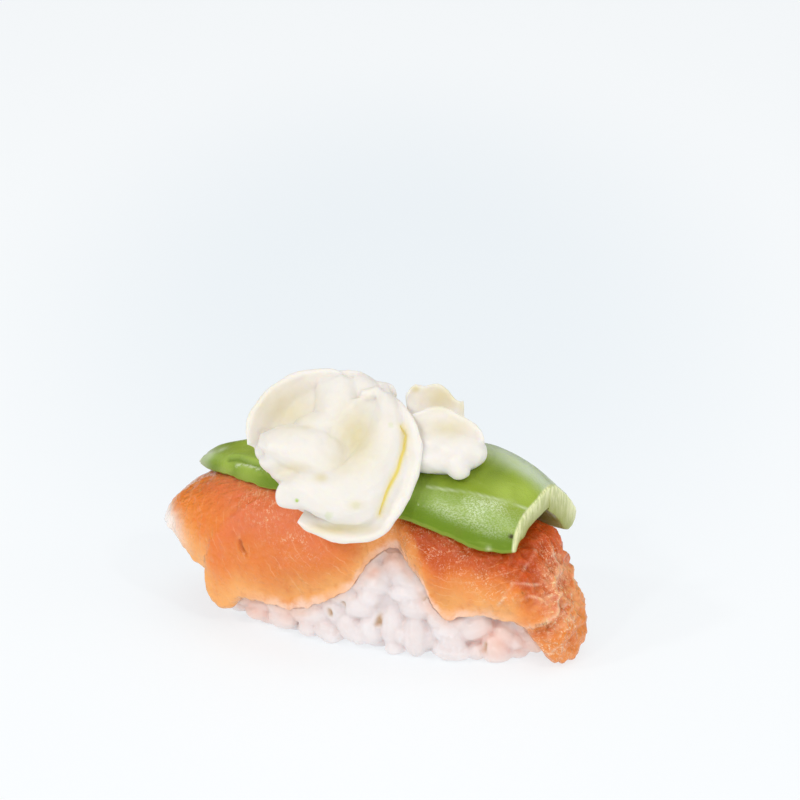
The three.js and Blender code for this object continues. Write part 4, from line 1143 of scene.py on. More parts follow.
# in the spoonful's own frame, [across, up, out]: curls are lip, root, thickness and bulge, folds are rods with
# a radius, lumps are centre and radii, and yellowShade marks of painted shade are across, up, half width, half
# height and strength
rosetteForm = {
    "centre": (-8, -5, 29.8),
    "curls": [
        ([[9.6, 9.4, 2.2], [11.7, 6.6, 6], [13.2, 2.6, 7.8], [13.3, -1, 8.6], [12.1, -5, 9.4], [9.8, -9.2, 10],
          [6.8, -12.4, 9.9], [1.5, -13, 9.4], [-3.4, -11.6, 9.1], [-5.6, -10.4, 8.8]],
         [[6, 5, 0], [8, 3, 1.5], [8.5, 0, 3], [8.3, -3, 4.5], [6.2, -6, 5.5], [3.5, -8, 5.5], [0, -8, 5],
          [-2.4, -7.5, 5], [-3.6, -7.2, 5]], 2.8, -0.5),
        ([[9.6, 9.4, 1.6], [10.3, 7.2, 3.8], [10.5, 4.4, 5.8], [10.3, 0.5, 7.6], [9, -3.5, 9], [7, -7.2, 10.4],
          [4.6, -9.7, 11], [0.5, -10, 11], [-4.3, -8, 10.2], [-8.4, -6.9, 8.8]],
         [[6.8, 10.4, 1.4], [7.4, 9.2, 3.6], [7.4, 6.6, 5.8], [5.8, 2.8, 8.2], [4, 0, 9.6], [1.2, -2.7, 10.4],
          [-2, -3.8, 10.6], [-5.2, -3.6, 10.2], [-8.2, -4.9, 9.2]], 2.6, 1),
        ([[-11.6, 1.5, 7], [-9.6, 0.4, 8.6], [-7.2, -0.8, 9.4], [-4.6, -1.9, 9.8], [-1.6, -3, 9.6], [1.6, -3, 9.2]],
         [[-11.6, 3.2, 4.6], [-8.5, 4, 6.2], [-5.5, 4.4, 6.8], [-2.2, 4, 6.4], [0.2, 2.6, 5.8], [2.4, 1, 5.8]],
         2.4, 1.3),
        ([[-13.6, 1.6, 4], [-13.4, 5, 3.4], [-11.6, 8.6, 2.4], [-8.8, 11.3, 1.4], [-5, 12.9, 0.7],
          [-0.6, 13.3, 0.6], [1.2, 13, 0.6]],
         [[-9.5, 0.5, 2.5], [-8.5, 3, 1.6], [-7, 5, 0.9], [-5, 6, 0.6], [-3, 6.5, 0.6], [-1, 7, 0.8], [0, 7, 0.8]],
         2.2, -1.6),
        ([[-0.6, 13, -0.4], [3.5, 12.9, -0.6], [6.6, 11.4, 0], [8.8, 10.8, 0.5], [10.2, 9.4, 0.6]],
         [[0, 7, 0], [3, 7, 1], [4, 6, 2], [5, 5, 2], [6.5, 4, 2]], 2.2, -1),
        ([[9.8, 5.5, -4], [6.4, 9.4, -5.4], [0.4, 11, -6.2], [-6, 9.4, -5.8], [-10.8, 5, -4.6]],
         [[8, 1, -3], [5, 3.5, -4], [0, 4.5, -5], [-5, 3.5, -4.5], [-8.5, 0.5, -3.5]], 2.4, -1.6),
        ([[11.4, -0.6, -3.6], [9.4, 3, -6.6], [3.6, 6, -8.6], [-3, 6, -8.8], [-9, 1.6, -7]],
         [[8, -2, -2], [6, -0.5, -4.5], [2, 1, -6], [-3, 1, -6], [-7, -1, -4]], 2.4, -1.2),
        ([[-1.4, -2.6, 8.6], [-0.8, 0.6, 7.2], [0.2, 3.6, 6.6], [1.2, 6, 6], [3.4, 8.2, 4.8], [6.2, 9.6, 3]],
         [[1, -3.2, 9.6], [3.2, -1.4, 9.6], [5.2, 1.4, 8.8], [6.6, 4.2, 7.2], [7.4, 6.6, 5.6], [7.6, 8.8, 3.8]],
         2.2, -1.5),
    ],
    "folds": [
        [[0.6, 11, -1.4, 3.6], [0.8, 9, 0.8, 3.7], [0.3, 6.6, 2.6, 3.5], [-0.8, 4.6, 4.1, 3.1],
         [-3.4, 4.2, 5.2, 2.6], [-6.5, 4, 5, 1.9]],
        [[3.6, 10.4, -1.2, 3.2], [5, 9.4, 0.4, 3], [6.2, 8.4, 1.2, 2.4]],
        [[-8.6, -6, 8.2, 2], [-7.4, -6.1, 8.8, 2.3], [-4.8, -6.2, 9.2, 2.4], [-1.5, -6.8, 9.2, 2]],
        [[9.4, 5.4, 4.2, 1.5], [10.6, 2, 6.2, 1.6], [10.3, -1.8, 7.7, 1.6], [8.7, -5, 8.6, 1.6], [6.6, -8.4, 9, 1.6],
         [3, -10.2, 9, 1.4], [-2, -9.8, 8.6, 1.2]],
        [[4.2, 9.8, 3.4, 0.7], [5.8, 9.8, 3.6, 0.9], [7.4, 10.4, 2.4, 0.7]],
        [[8, 11.4, -0.4, 0.7], [8.7, 9.6, 2.6, 0.8], [9.9, 8, 3.2, 0.6]],
    ],
    "lumps": [
        ((0.4, 1.5, -2.6), (12, 10, 7)), ((0.5, -5.6, 3), (8, 4.8, 7.6)), ((-6, 0.6, 2), (6.6, 3.4, 6.2)),
        ((1.4, 0.4, 3), (4.4, 4.4, 3.6)), ((-8.2, -0.9, 5.2), (3.6, 2.2, 3.8)),
        ((-6.6, -2.8, 6.2), (3.4, 1.7, 3.6)),
    ],
    "yellowShade": [
        (-7.5, 7.2, 4.4, 3.2, 0.75), (3.7, 2.8, 3.2, 4.6, 0.95), (1.8, -1, 3, 2.4, 0.5), (-6.6, -2, 2.6, 1, 0.6),
        (-1.8, -3.4, 1.2, 0.7, 0.8), (1.2, -11.5, 5.0, 0.9, 1.0), (3.7, -7.8, 1.3, 0.8, 0.5),
        (-4.4, 4.6, 1.4, 0.7, 0.4), (-7.8, -2.6, 2.4, 1.2, 0.45),
    ],
}  # fmt: skip
dollopForm = {
    "centre": (10.6, -0.7, 33.9),
    "curls": [
        ([[-6.4, 3.6, 0.4], [-4.6, 4.1, 1], [-2.6, 4.8, 1.4], [-0.9, 4.6, 1.6], [0.6, 3.7, 2], [2.4, 2.8, 2.2],
          [4.2, 1.5, 2.4], [5.3, -0.3, 2.6]],
         [[-5.6, -1.5, 2], [-4.2, -2, 2.6], [-2.6, -2.4, 3.2], [-1, -2.6, 3.6], [0.4, -2.6, 3.8], [1.8, -2.6, 3.8],
          [3.4, -2.4, 3.4], [4.6, -2.2, 3]], 1.9, -1.3),
        ([[-7.2, 7.2, -3], [-5.6, 8.3, -3.4], [-4, 8, -3.6], [-2, 8.3, -3.8], [-0.6, 7.4, -3.8], [0.9, 5.8, -3.6],
          [2.3, 5.9, -3.4]],
         [[-6.6, 2, -2], [-5, 1.5, -2.4], [-3, 1, -2.5], [-1, 1, -2.5], [0.6, 1, -2.5], [2, 1, -2.2]], 1.8, -1.2),
    ],
    "folds": [
        [[0.4, -3.2, 3, 2.6], [1.2, -4.6, 3.3, 2.1], [1.6, -5.6, 3.3, 1.6], [1.8, -6.4, 3.2, 1.1]],
        [[-6, -2.4, 0.2, 2.2], [-4.4, -3, 1.4, 2.3], [-2.2, -3.3, 2.4, 2.2], [0.4, -3.4, 3, 2]],
    ],
    "lumps": [((-0.6, -1.8, -0.8), (6, 4.4, 4.6)), ((0.9, -2.2, 1.6), (5, 3.1, 3.4))],
    "yellowShade": [
        (-0.4, 1.7, 3.3, 1.5, 0.7), (-1.5, 6.6, 2.8, 2, 0.9), (2.6, 5, 1.6, 1.6, 0.6), (-5.6, 8, 0.8, 0.6, 1.0),
    ],
}  # fmt: skip
# marks on the rosette's front: [across, up], and for the specks also size and strength
deepCrevice = [[10.9, 4.7], [11.5, 3.2], [11.3, 1], [10.3, -2.3], [8.7, -5.6], [7.4, -9.3]]
greenSpecks = [(-5.6, -7, 0.42, 1.0), (3.7, -7.8, 0.9, 0.12), (-0.6, -9.4, 0.9, 0.25), (9.2, 4.9, 0.6, 0.2)]


def creamBasis():
    turn, tip = math.radians(creamLook["turn"]), math.radians(creamLook["tip"])
    across = np.array([math.cos(turn), math.sin(turn), 0])
    out = np.array([math.sin(turn) * math.cos(tip), -math.cos(turn) * math.cos(tip), math.sin(tip)])
    return np.stack([across, np.cross(out, across), out])


def curlSkin(lip, root, thickness, bulge, steps=70, sides=22):
    u = np.linspace(0, 1, steps + 1)
    rootLine, lipLine = curvePoints(root, u), curvePoints(lip, u)
    v = np.linspace(0, 1, sides + 1)[None, :, None]
    belly = (rootLine + lipLine) / 2 + np.array([0, 0, 2 * bulge])
    sheet = rootLine[:, None] * (1 - v) ** 2 + belly[:, None] * 2 * v * (1 - v) + lipLine[:, None] * v**2
    normal = np.cross(np.gradient(sheet, axis=0), np.gradient(sheet, axis=1))
    normal /= np.linalg.norm(normal, axis=2)[..., None] + 1e-12
    taper = np.minimum(1, 0.45 + 3 * np.minimum(u, 1 - u))[:, None, None]
    edge = 1 - 0.4 * smooth(np.abs(v - 0.5), 0.3, 0.5)
    half = thickness / 2 * taper * edge
    front, back = sheet + normal * half, sheet - normal * half

    def lipRound(first, last, heading):
        heading = heading / (np.linalg.norm(heading, axis=1)[:, None] + 1e-12)
        middle, arm = (first + last) / 2, (first - last) / 2
        reach = thickness / 2 * taper[:, 0] * 0.7
        turns = np.radians([30, 60, 90, 120, 150])
        return np.stack([middle + math.cos(t) * arm + math.sin(t) * heading * reach for t in turns], 1)

    tip = lipRound(front[:, -1], back[:, -1], sheet[:, -1] - sheet[:, -2])
    heel = lipRound(back[:, 0], front[:, 0], sheet[:, 0] - sheet[:, 1])
    rings = np.concatenate([front, tip, back[:, ::-1], heel], axis=1)
    return closedSkin(rings)


def foldSkin(stations, steps=48, sides=28):
    stations = np.asarray(stations, float)
    u = np.linspace(0, 1, steps + 1)
    dense = curvePoints(stations[:, :3], np.linspace(0, 1, 400))
    walked = walkedLength(dense)
    want = u * walked[-1]
    line = np.stack([np.interp(want, walked, dense[:, c]) for c in range(3)], -1)
    share = np.interp(want, walked, np.linspace(0, 1, 400))
    radii = along(np.stack([np.linspace(0, 1, len(stations)), stations[:, 3]], -1), share)[:, 0]
    ends = np.minimum(u, 1 - u)
    radii = radii * np.sqrt(np.clip(1 - (1 - np.clip(ends / 0.12, 0, 1)) ** 2, 0.04, 1))
    heading = np.gradient(line, axis=0)
    heading /= np.linalg.norm(heading, axis=1)[:, None]
    side = np.cross(heading, np.array([0.3, 0.1, 1.0]))
    side /= np.linalg.norm(side, axis=1)[:, None]
    third = np.cross(heading, side)
    turns = np.linspace(0, 2 * math.pi, sides, endpoint=False)
    spokes = np.cos(turns)[None, :, None] * side[:, None] + np.sin(turns)[None, :, None] * third[:, None]
    return closedSkin(line[:, None] + spokes * radii[:, None, None])


def lumpSkin(centre, radii, steps=40, sides=64):
    tips = np.linspace(0, math.pi, steps + 1)[1:-1]
    turns = np.linspace(0, 2 * math.pi, sides, endpoint=False)
    ring = np.stack([
        np.sin(tips)[:, None] * np.cos(turns)[None, :],
        np.sin(tips)[:, None] * np.sin(turns)[None, :],
        np.cos(tips)[:, None] * np.ones(sides)[None, :],
    ], -1)  # fmt: skip
    return closedSkin(ring * np.array(radii) + np.array(centre))


def spoonful(form):
    # one skin from all the curls, folds and lumps, which are laid out in the spoonful's own frame
    basis = creamBasis()
    skins = [curlSkin(*curl) for curl in form["curls"]]
    skins += [foldSkin(fold) for fold in form["folds"]]
    skins += [lumpSkin(*lump) for lump in form["lumps"]]
    points, polygons, offset = [], [], 0
    for skin, faces in skins:
        skin = skin + lipWaver(skin)
        points.append(skin @ basis + np.array(form["centre"]))
        polygons += [tuple(dict.fromkeys(f)) for f in (faces + offset).tolist()]
        offset += len(skin)
    return fuseSkins(np.vstack(points), polygons, creamLook["voxel"])


def lipWaver(local):
    # uneven waves that keep the lips from running too smoothly
    waves = [softNoise(local, 2.8, 20 + c) + 0.3 * softNoise(local, 0.9, 25 + c) for c in range(3)]
    return creamLook["lipWaves"] * np.stack(waves, -1) * np.array([1.0, 1.0, 1.4])


def underTrees():
    # the avocado and salmon surfaces that the cream rests on
    trees = []
    for points, faces in ((avocadoPoints, avocadoFaces), (salmonPoints, salmonFaces)):
        trees.append(BVHTree.FromPolygons(points.tolist(), faces.tolist()))
    return trees


def finishCream(name, form, trees, isRosette):
    points, faces = spoonful(form)
    edges, degree = edgesOf(faces, len(points))
    for _ in range(creamLook["settle"]):
        points = mix(points, neighbourMean(points, edges, degree), 0.6)
    basis = creamBasis()
    local = (points - np.array(form["centre"])) @ basis.T
    normals = pointNormals(points, faces)
    waves = softNoise(local * np.array([1, 0.6, 1]), 1.5, 31) + softNoise(local, 3.2, 32)
    relief = creamLook["skinWaves"] * waves
    sweep = np.stack([np.hypot(local[:, 0] - 2, local[:, 1] - 3), 0.2 * local[:, 0], 0.2 * local[:, 2]], -1)
    relief += creamLook["strokes"] * softNoise(sweep, 0.9, 34)
    creviceShade = np.zeros(len(points))
    smear = np.zeros(len(points))
    yellowShade = np.zeros(len(points))
    # painted shade: yellowish marks in the bowls and under the lips, on faces turned outwards
    towards = smooth(normals @ basis[2], -0.1, 0.4)
    for across, up, wide, tall, share in form["yellowShade"]:
        reach = ((local[:, 0] - across) / wide) ** 2 + ((local[:, 1] - up) / tall) ** 2
        yellowShade = np.maximum(yellowShade, share * np.exp(-reach) * towards)
    if isRosette:
        # painted shade: the crevice is cut in, and it and a halo round it are painted yellow
        far, share = lineDistance(local[:, :2], deepCrevice)
        facing = smooth(normals @ basis[2], 0.0, 0.5) * smooth(local[:, 2], 2.5, 4.5)
        width = 0.36 * np.sin(math.pi * np.clip(share, 0.06, 0.94)) ** 0.5
        creviceShade = fading(far, width) * facing
        shadeNearCrevice = fading(far, 0.6) * facing
        relief -= creamLook["creviceDepth"] * creviceShade
        creviceShade = np.maximum(creviceShade, 0.4 * shadeNearCrevice)
        for across, up, size, share in greenSpecks:
            reach = np.hypot(local[:, 0] - across, local[:, 1] - up) + 0.4 * size * softNoise(local, 0.5, 33)
            smear = np.maximum(smear, share * smooth(reach, size, size * 0.3) * facing)
    points = points + normals * relief[:, None]

    # rests on what is under it
    for k, (x, y, z) in enumerate(points.tolist()):
        for tree in trees:
            hit = tree.ray_cast(Vector((x, y, farAbove)), Vector((0, 0, -1)))[0]
            if hit is not None:
                z = max(z, hit.z + creamLook["clearance"])
        points[k, 2] = z

    # painted shade: how deep each point lies in a hollow, which tints it yellow
    settled = points.copy()
    for _ in range(creamLook["hollowSettle"]):
        settled = mix(settled, neighbourMean(settled, edges, degree), 0.8)
    normals = pointNormals(points, faces)
    hollowShade = np.einsum("ij,ij->i", settled - points, normals)
    attributes = {"hollowShade": hollowShade, "creviceShade": creviceShade, "smear": smear, "yellowShade": yellowShade}
    return makePiece(name, points, faces, creamMaterial, attributes)


def creamFinish():
    look = creamLook
    finish = Finish("creamCheese")
    cloudy = finish.speckle(4.0, 3.0)
    fine = finish.speckle(0.8, 3.0, 0.6)
    # painted shade: yellowish in the hollows
    hollowShade = finish.span(finish.mask("hollowShade"), 0.1, 1.5)
    colour = finish.blend(finish.times(cloudy, 0.2), tint(*look["ivory"]), tint(*look["warm"]))
    colour = finish.blend(finish.times(hollowShade, 0.5), colour, tint(*look["hollowShade"]))
    # painted shade: yellowish in the bowls and under the lips
    yellowShade = finish.times(finish.mask("yellowShade"), finish.span(cloudy, 0.2, 0.6, 0.75, 1.0))
    colour = finish.blend(yellowShade, colour, tint(*look["yellowShade"]))
    # painted shade: the crevice line in yellow; the green smears are the cream's own
    colour = finish.layers(colour, look, [("creviceShade", 0.9, "creviceShade"), ("smear", None, "smear")])
    normal = finish.bump(fine, 0.06)
    normal = finish.bump(finish.speckle(2.0, 2.0), 0.15, normal)
    finish.set(
        Base_Color=colour,
        Roughness=finish.span(fine, 0.3, 0.7, *look["roughness"]),
        Normal=normal,
        **look["sockets"],
    )
    return finish.material


creamMaterial = creamFinish()
restTrees = underTrees()
rosettePiece = finishCream("creamRosette", rosetteForm, restTrees, True)
dollopPiece = finishCream("creamDollop", dollopForm, restTrees, False)
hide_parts("cream_rosette")
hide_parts("cream_dollop")
for piece in (rosettePiece, dollopPiece):
    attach(piece, "root")

print("stage: rice")
riceLook = {
    "grainLength": 5.9,
    "grainWidth": 4.0,
    "spacing": 3.4,
    "mostGrains": 900000.0,  # for each square metre
    "tilt": 0.32,
    "voxel": 0.25,
    "sizeSpread": 0.12,
    "shapes": [(0.0, 1.0), (0.25, 0.95), (0.4, 1.04), (0.15, 0.9)],  # bend in mm, plumpness
    "seed": 11,
    "outerInset": 1.4,
    "coreInset": 0.65,
    "footInset": 2.4,
    "underSalmon": 4.5,
    "clearOfFront": 2.3,
    "proud": 0.6,
    "gapDepth": 0.8,
    "roughness": (0.3, 0.42),
    "sockets": {
        "Subsurface_Weight": 0.6,
        "Subsurface_Radius": (1.0, 0.82, 0.72),
        "Subsurface_Scale": 0.0045,
    },
    "grain": (232, 223, 222),
    "duller": (226, 214, 211),
    "pinkLightAndTint": (242, 198, 182),
    "salmonGlowAndFilmTint": (246, 206, 186),
    "shadedGap": (206, 172, 132),
    "clear": (234, 226, 226),
    "smoothings": 2,
    "floorGap": 0.05,
}
# the grains seen in front, in the notch and along the near foot: [x, y, z of one end, of the other, width]
frontGrains = [
    [3.2, -8.6, 15.4, 5.4, -9.7, 13.1, 3.4], [3.4, -9.7, 13.4, 9.6, -10.2, 11, 3.6],
    [-0.4, -11.2, 10.7, 3.9, -10.7, 11, 3.9], [-0.6, -11.6, 9.2, 2.4, -11.6, 8.4, 3.3],
    [4.5, -10.9, 10.1, 9.4, -10.5, 10.2, 3], [6.4, -11.2, 8.3, 11, -11, 7.8, 3.7],
    [-3, -12, 6.9, 1.6, -11.8, 6.9, 3.7], [4.9, -11.5, 7.3, 5.2, -12.1, 1.4, 4.1],
    [8.7, -11.4, 6.6, 9.4, -12.4, 0.6, 4.3], [0.5, -12.1, 5, 2.1, -12.2, 1.4, 4.2],
    [-3.8, -12.1, 5.1, -1.1, -12.2, 1.3, 4], [12.2, -11.3, 5.4, 16.5, -10.6, 4.3, 3.5],
    [12.6, -11.6, 1.9, 17.9, -10.4, 1.5, 3.5], [16.9, -10.5, 4.9, 21.1, -8.6, 6.6, 3.5],
    [-12.8, -11.5, 3.9, -6.9, -12, 4.1, 3.4], [-11.1, -11.8, 2, -8.8, -12, 1.4, 2.8],
    [-8.3, -12, 2.1, -4.8, -12.1, 1.9, 3.3], [-22.8, -8.8, 3.6, -17.3, -10.7, 4, 3.3],
    [-24.6, -7.6, 2.6, -22.6, -8.9, 2.4, 2.8], [-17.3, -10.7, 4, -13, -11.5, 4.2, 3.3],
    [20.7, -9.3, 4, 23.1, -8.3, 1.5, 3.5], [22.1, -8.4, 5.6, 24.4, -7.2, 3.7, 3.3],
    [24.2, -7.2, 4.3, 25.4, -6.4, 2.8, 3], [10.3, -10.6, 9.8, 12.5, -10.7, 8.2, 3.3],
    [11.4, -11, 7.2, 13.9, -10.8, 6.5, 3.3], [-1.6, -12.1, 2.9, 0.1, -12.2, 1.3, 2.8],
    [7.2, -11.8, 4.4, 6.9, -12, 2.4, 2.8], [13.5, -11.3, 3.7, 17, -10.6, 3, 3],
    [-22.1, -9.2, 2.3, -18.6, -10.4, 2.2, 3.3], [-17.3, -10.7, 2.3, -12.6, -11.6, 2, 3.3],
    [25.1, -6.1, 5.4, 26.9, -4.5, 1.6, 3.7],
]  # fmt: skip
# where the rice is painted pink: the salmon's bounced light, with a tint of its oil: [x, y, z, reach]
pinkLightAndTintSpots = [[4.0, -8.8, 15.4, 2.2], [11.6, -10.5, 9.2, 1.4], [-13, -11.4, 5, 3.2], [22, -8.4, 4, 3.6],
              [26, -5, 4, 3.6], [-20, -10, 3.4, 4.4], [1.5, -10.5, 13.2, 1.2]]  # fmt: skip
# small gaps between grains, sunk and painted with shade inside: lines of [x, y, z] and how wide
riceGaps = [
    ([[3.1, -11.6, 7.7], [2.9, -11.9, 6.2], [2.9, -12, 5.0]], 0.5),
    ([[-5.9, -12, 5.6], [-5.7, -12, 5.1]], 0.45),
    ([[10.0, -10.4, 10.6], [10.3, -10.4, 10.1]], 0.4),
    ([[-3.4, -11.9, 7.2], [-3.1, -11.9, 6.9]], 0.35),
    ([[20.4, -9.4, 3.4], [20.2, -9.5, 2.2]], 0.4),
]


def grainSkin(length, width, bend):
    # a plump cooked grain along x: eight sides, blunt ends, a slight bend
    stops = np.array([-0.93, -0.7, -0.32, 0.08, 0.48, 0.8, 0.96])
    turns = np.linspace(0, 2 * math.pi, 8, endpoint=False)
    rings = []
    for stop in stops:
        radius = width / 2 * (1 - abs(stop) ** 2.7) ** 0.5 * (1.03 - 0.06 * stop)
        lift = bend * (1 - stop**2)
        rings.append(np.stack([
            np.full(len(turns), stop * length / 2),
            radius * np.cos(turns),
            radius * np.sin(turns) * 0.92 + lift,
        ], -1))  # fmt: skip
    points, faces = closedSkin(np.array(rings))
    points[-2] = [-length / 2, 0, 0]
    points[-1] = [length / 2, 0, 0]
    return points, [tuple(dict.fromkeys(f)) for f in faces.tolist()]


def grainMesh(bend, plump, index):
    points, polygons = grainSkin(riceLook["grainLength"], riceLook["grainWidth"] * plump, bend)
    mesh = bpy.data.meshes.new(f"grain{index}")
    mesh.from_pydata((points * millimetre).tolist(), [], polygons)
    mesh.shade_smooth()
    return mesh


def grainAcross(first, last, width):
    # a grain between two spots on the block's face, sunk so that it stands a little proud
    first, last = np.array(first), np.array(last)
    axis = last - first
    length = np.linalg.norm(axis)
    axis /= length
    middle = (first + last) / 2
    outwards = middle * [0.3 / riceForm["reachRight"], 1 / riceForm["halfWidth"], 0.3 / riceForm["height"]]
    outwards -= axis * (outwards @ axis)
    outwards /= np.linalg.norm(outwards)
    points, polygons = grainSkin(length + 0.9, width, 0.25)
    middle = middle - outwards * (width * 0.46 - riceLook["proud"])
    return points @ np.stack([axis, np.cross(outwards, axis), outwards]) + middle, polygons


def bedMesh():
    # the bare part of the rice block, which the grains are scattered over
    sides, rows = 150, 34
    direction = np.linspace(0, 2 * math.pi, sides, endpoint=False)
    heights = np.linspace(1.4, riceForm["height"] - 2.0, rows)
    rings = []
    for height in heights:
        fall = fallAtHeight(riceForm, direction, np.full(sides, height))
        rings.append(loafPoint(riceForm, direction, fall, -riceLook["outerInset"]))
    points = np.array(rings).reshape(-1, 3)
    faces = ringFaces(rows, sides)
    middle = points[faces].mean(1)
    facing, _ = formPlace(sliceForm, middle)
    bare = middle[:, 2] < edgeHeight(facing) + riceLook["underSalmon"]
    for grain in frontGrains:
        bare &= lineDistance(middle, [grain[:3], grain[3:6]])[0] > riceLook["clearOfFront"]
    faces = faces[bare]
    # underside, a flat grid inside the foot line
    foot = [rings[0] * [s, s, 1] for s in (1.0, 0.85, 0.68, 0.5, 0.3, 0.1)]
    base = np.array(foot).reshape(-1, 3)
    below = ringFaces(len(foot), sides)[:, ::-1] + len(points)
    points = np.vstack([points, base])
    faces = np.vstack([faces, below])
    faces = faces if faceNormals(points, faces)[0] @ points[faces[0, 0]] > 0 else faces[:, ::-1]
    mesh = bpy.data.meshes.new("grainBed")
    mesh.from_pydata(((points + placeShift) * millimetre).tolist(), [], faces.tolist())
    mesh.update()
    bed = bpy.data.objects.new("grainBed", mesh)
    scene.collection.objects.link(bed)
    return bed


def grainTree(material):
    tree = bpy.data.node_groups.new("scatterGrains", "GeometryNodeTree")
    sockets = {}
    wanted = [
        ("Geometry", "NodeSocketGeometry", None),
        ("Grains", "NodeSocketCollection", None),
        ("Spacing", "NodeSocketFloat", riceLook["spacing"] * millimetre),
        ("Tilt", "NodeSocketFloat", riceLook["tilt"]),
        ("Size spread", "NodeSocketFloat", riceLook["sizeSpread"]),
        ("Seed", "NodeSocketInt", riceLook["seed"]),
    ]
    for name, kind, value in wanted:
        socket = tree.interface.new_socket(name=name, in_out="INPUT", socket_type=kind)
        if value is not None:
            socket.default_value = value
        sockets[name] = socket.identifier
    tree.interface.new_socket(name="Geometry", in_out="OUTPUT", socket_type="NodeSocketGeometry")

    def add(kind, inputs, **settings):
        node = tree.nodes.new(kind)
        for key, value in settings.items():
            setattr(node, key, value)
        for key, value in inputs.items():
            if isinstance(value, bpy.types.NodeSocket):
                tree.links.new(value, node.inputs[key])
            else:
                node.inputs[key].default_value = value
        return node.outputs

    def maths(kind, first, second):
        return add("ShaderNodeMath", {0: first, 1: second}, operation=kind)[0]

    def drawn(kind, inputs):
        return add("FunctionNodeRandomValue", inputs, data_type=kind)

    given = add("NodeGroupInput", {})
    seed, tilt, spread = given["Seed"], given["Tilt"], given["Size spread"]
    bed = {"Mesh": given["Geometry"], "Distance Min": given["Spacing"], "Seed": seed}
    bed["Density Max"] = riceLook["mostGrains"]
    spots = add("GeometryNodeDistributePointsOnFaces", bed, distribute_method="POISSON")
    picked = {"Collection": given["Grains"], "Separate Children": True, "Reset Children": True}
    shapes = add("GeometryNodeCollectionInfo", picked)
    which = drawn("INT", {"Min": 0, "Max": len(riceLook["shapes"]) - 1, "Seed": seed})
    # each grain lies flat on the block, turned at random and tipped a little
    tiltBack = maths("MULTIPLY", tilt, -1.0)
    lowTurn = add("ShaderNodeCombineXYZ", {0: tiltBack, 1: tiltBack})
    highTurn = add("ShaderNodeCombineXYZ", {0: tilt, 1: tilt, 2: 2 * math.pi})
    turn = drawn("FLOAT_VECTOR", {"Min": lowTurn[0], "Max": highTurn[0], "Seed": seed})
    spin = add("FunctionNodeEulerToRotation", {"Euler": turn["Value"]})
    turned = {"Rotation": spots["Rotation"], "Rotate By": spin["Rotation"]}
    rotation = add("FunctionNodeRotateRotation", turned, rotation_space="LOCAL")
    low, high = maths("SUBTRACT", 1.0, spread), maths("ADD", 1.0, spread)
    size = drawn("FLOAT", {2: low, 3: high, "Seed": seed})
    placed = add("GeometryNodeInstanceOnPoints", {
        "Points": spots["Points"],
        "Instance": shapes["Instances"],
        "Pick Instance": True,
        "Instance Index": which[2],
        "Rotation": rotation["Rotation"],
        "Scale": size[1],
    })  # fmt: skip
    tone = {"Name": "grainTone", "Geometry": placed["Instances"], "Value": drawn("FLOAT", {})[1]}
    marked = add("GeometryNodeStoreNamedAttribute", tone, data_type="FLOAT", domain="INSTANCE")
    solid = add("GeometryNodeRealizeInstances", {"Geometry": marked["Geometry"]})
    coated = add("GeometryNodeSetMaterial", {"Geometry": solid["Geometry"], "Material": material})
    add("NodeGroupOutput", {"Geometry": coated["Geometry"]})
    return tree, sockets


def riceFinish():
    look = riceLook
    finish = Finish("stickyRice")
    cloudy = finish.speckle(2.4, 2.0)
    colour = finish.blend(finish.span(cloudy, 0.35, 0.7), tint(*look["grain"]), tint(*look["clear"]))
    dull = finish.span(finish.mask("grainTone"), 0.4, 1.0, 0.0, 0.5)
    colour = finish.blend(dull, colour, tint(*look["duller"]))
    # painted pink light from the salmon, with its oil's tint
    colour = finish.layers(colour, look, [("pinkLightAndTint", 0.8, "pinkLightAndTint")])
    # painted light: the salmon's pink bounce by its edge, with the film of its oil
    salmonGlowAndFilm = finish.times(finish.mask("salmonGlowAndFilm"), finish.span(cloudy, 0.3, 0.6, 0.3, 0.75))
    colour = finish.blend(salmonGlowAndFilm, colour, tint(*look["salmonGlowAndFilmTint"]))
    # painted shade inside the gaps between grains
    colour = finish.layers(colour, look, [("shadedGap", None, "shadedGap")])
    normal = finish.bump(finish.speckle(0.9, 2.0), 0.1)
    finish.set(
        Base_Color=colour,
        Roughness=finish.span(cloudy, 0.3, 0.7, *look["roughness"]),
        Normal=normal,
        **look["sockets"],
    )
    return finish.material


def scatterGrains(grains, material):
    look = riceLook
    bed = bedMesh()
    tree, sockets = grainTree(material)
    scatter = bed.modifiers.new("scatter", "NODES")
    scatter.node_group = tree
    scatter[sockets["Grains"]] = grains
    scatter[sockets["Spacing"]] = look["spacing"] * millimetre
    scatter[sockets["Tilt"]] = look["tilt"]
    scatter[sockets["Size spread"]] = look["sizeSpread"]
    scatter[sockets["Seed"]] = look["seed"]
    mesh = bpy.data.meshes.new_from_object(bed.evaluated_get(bpy.context.evaluated_depsgraph_get()))
    bpy.data.objects.remove(bed)
    return mesh


def makeRice():
    grains = bpy.data.collections.new("grainShapes")
    for index, (bend, plump) in enumerate(riceLook["shapes"]):
        grains.objects.link(bpy.data.objects.new(f"grainShape{index}", grainMesh(bend, plump, index)))
    material = riceFinish()
    scattered = scatterGrains(grains, material)
    for shape in list(grains.objects):
        bpy.data.objects.remove(shape)
    bpy.data.collections.remove(grains)
    return stickTogether(scattered, material)


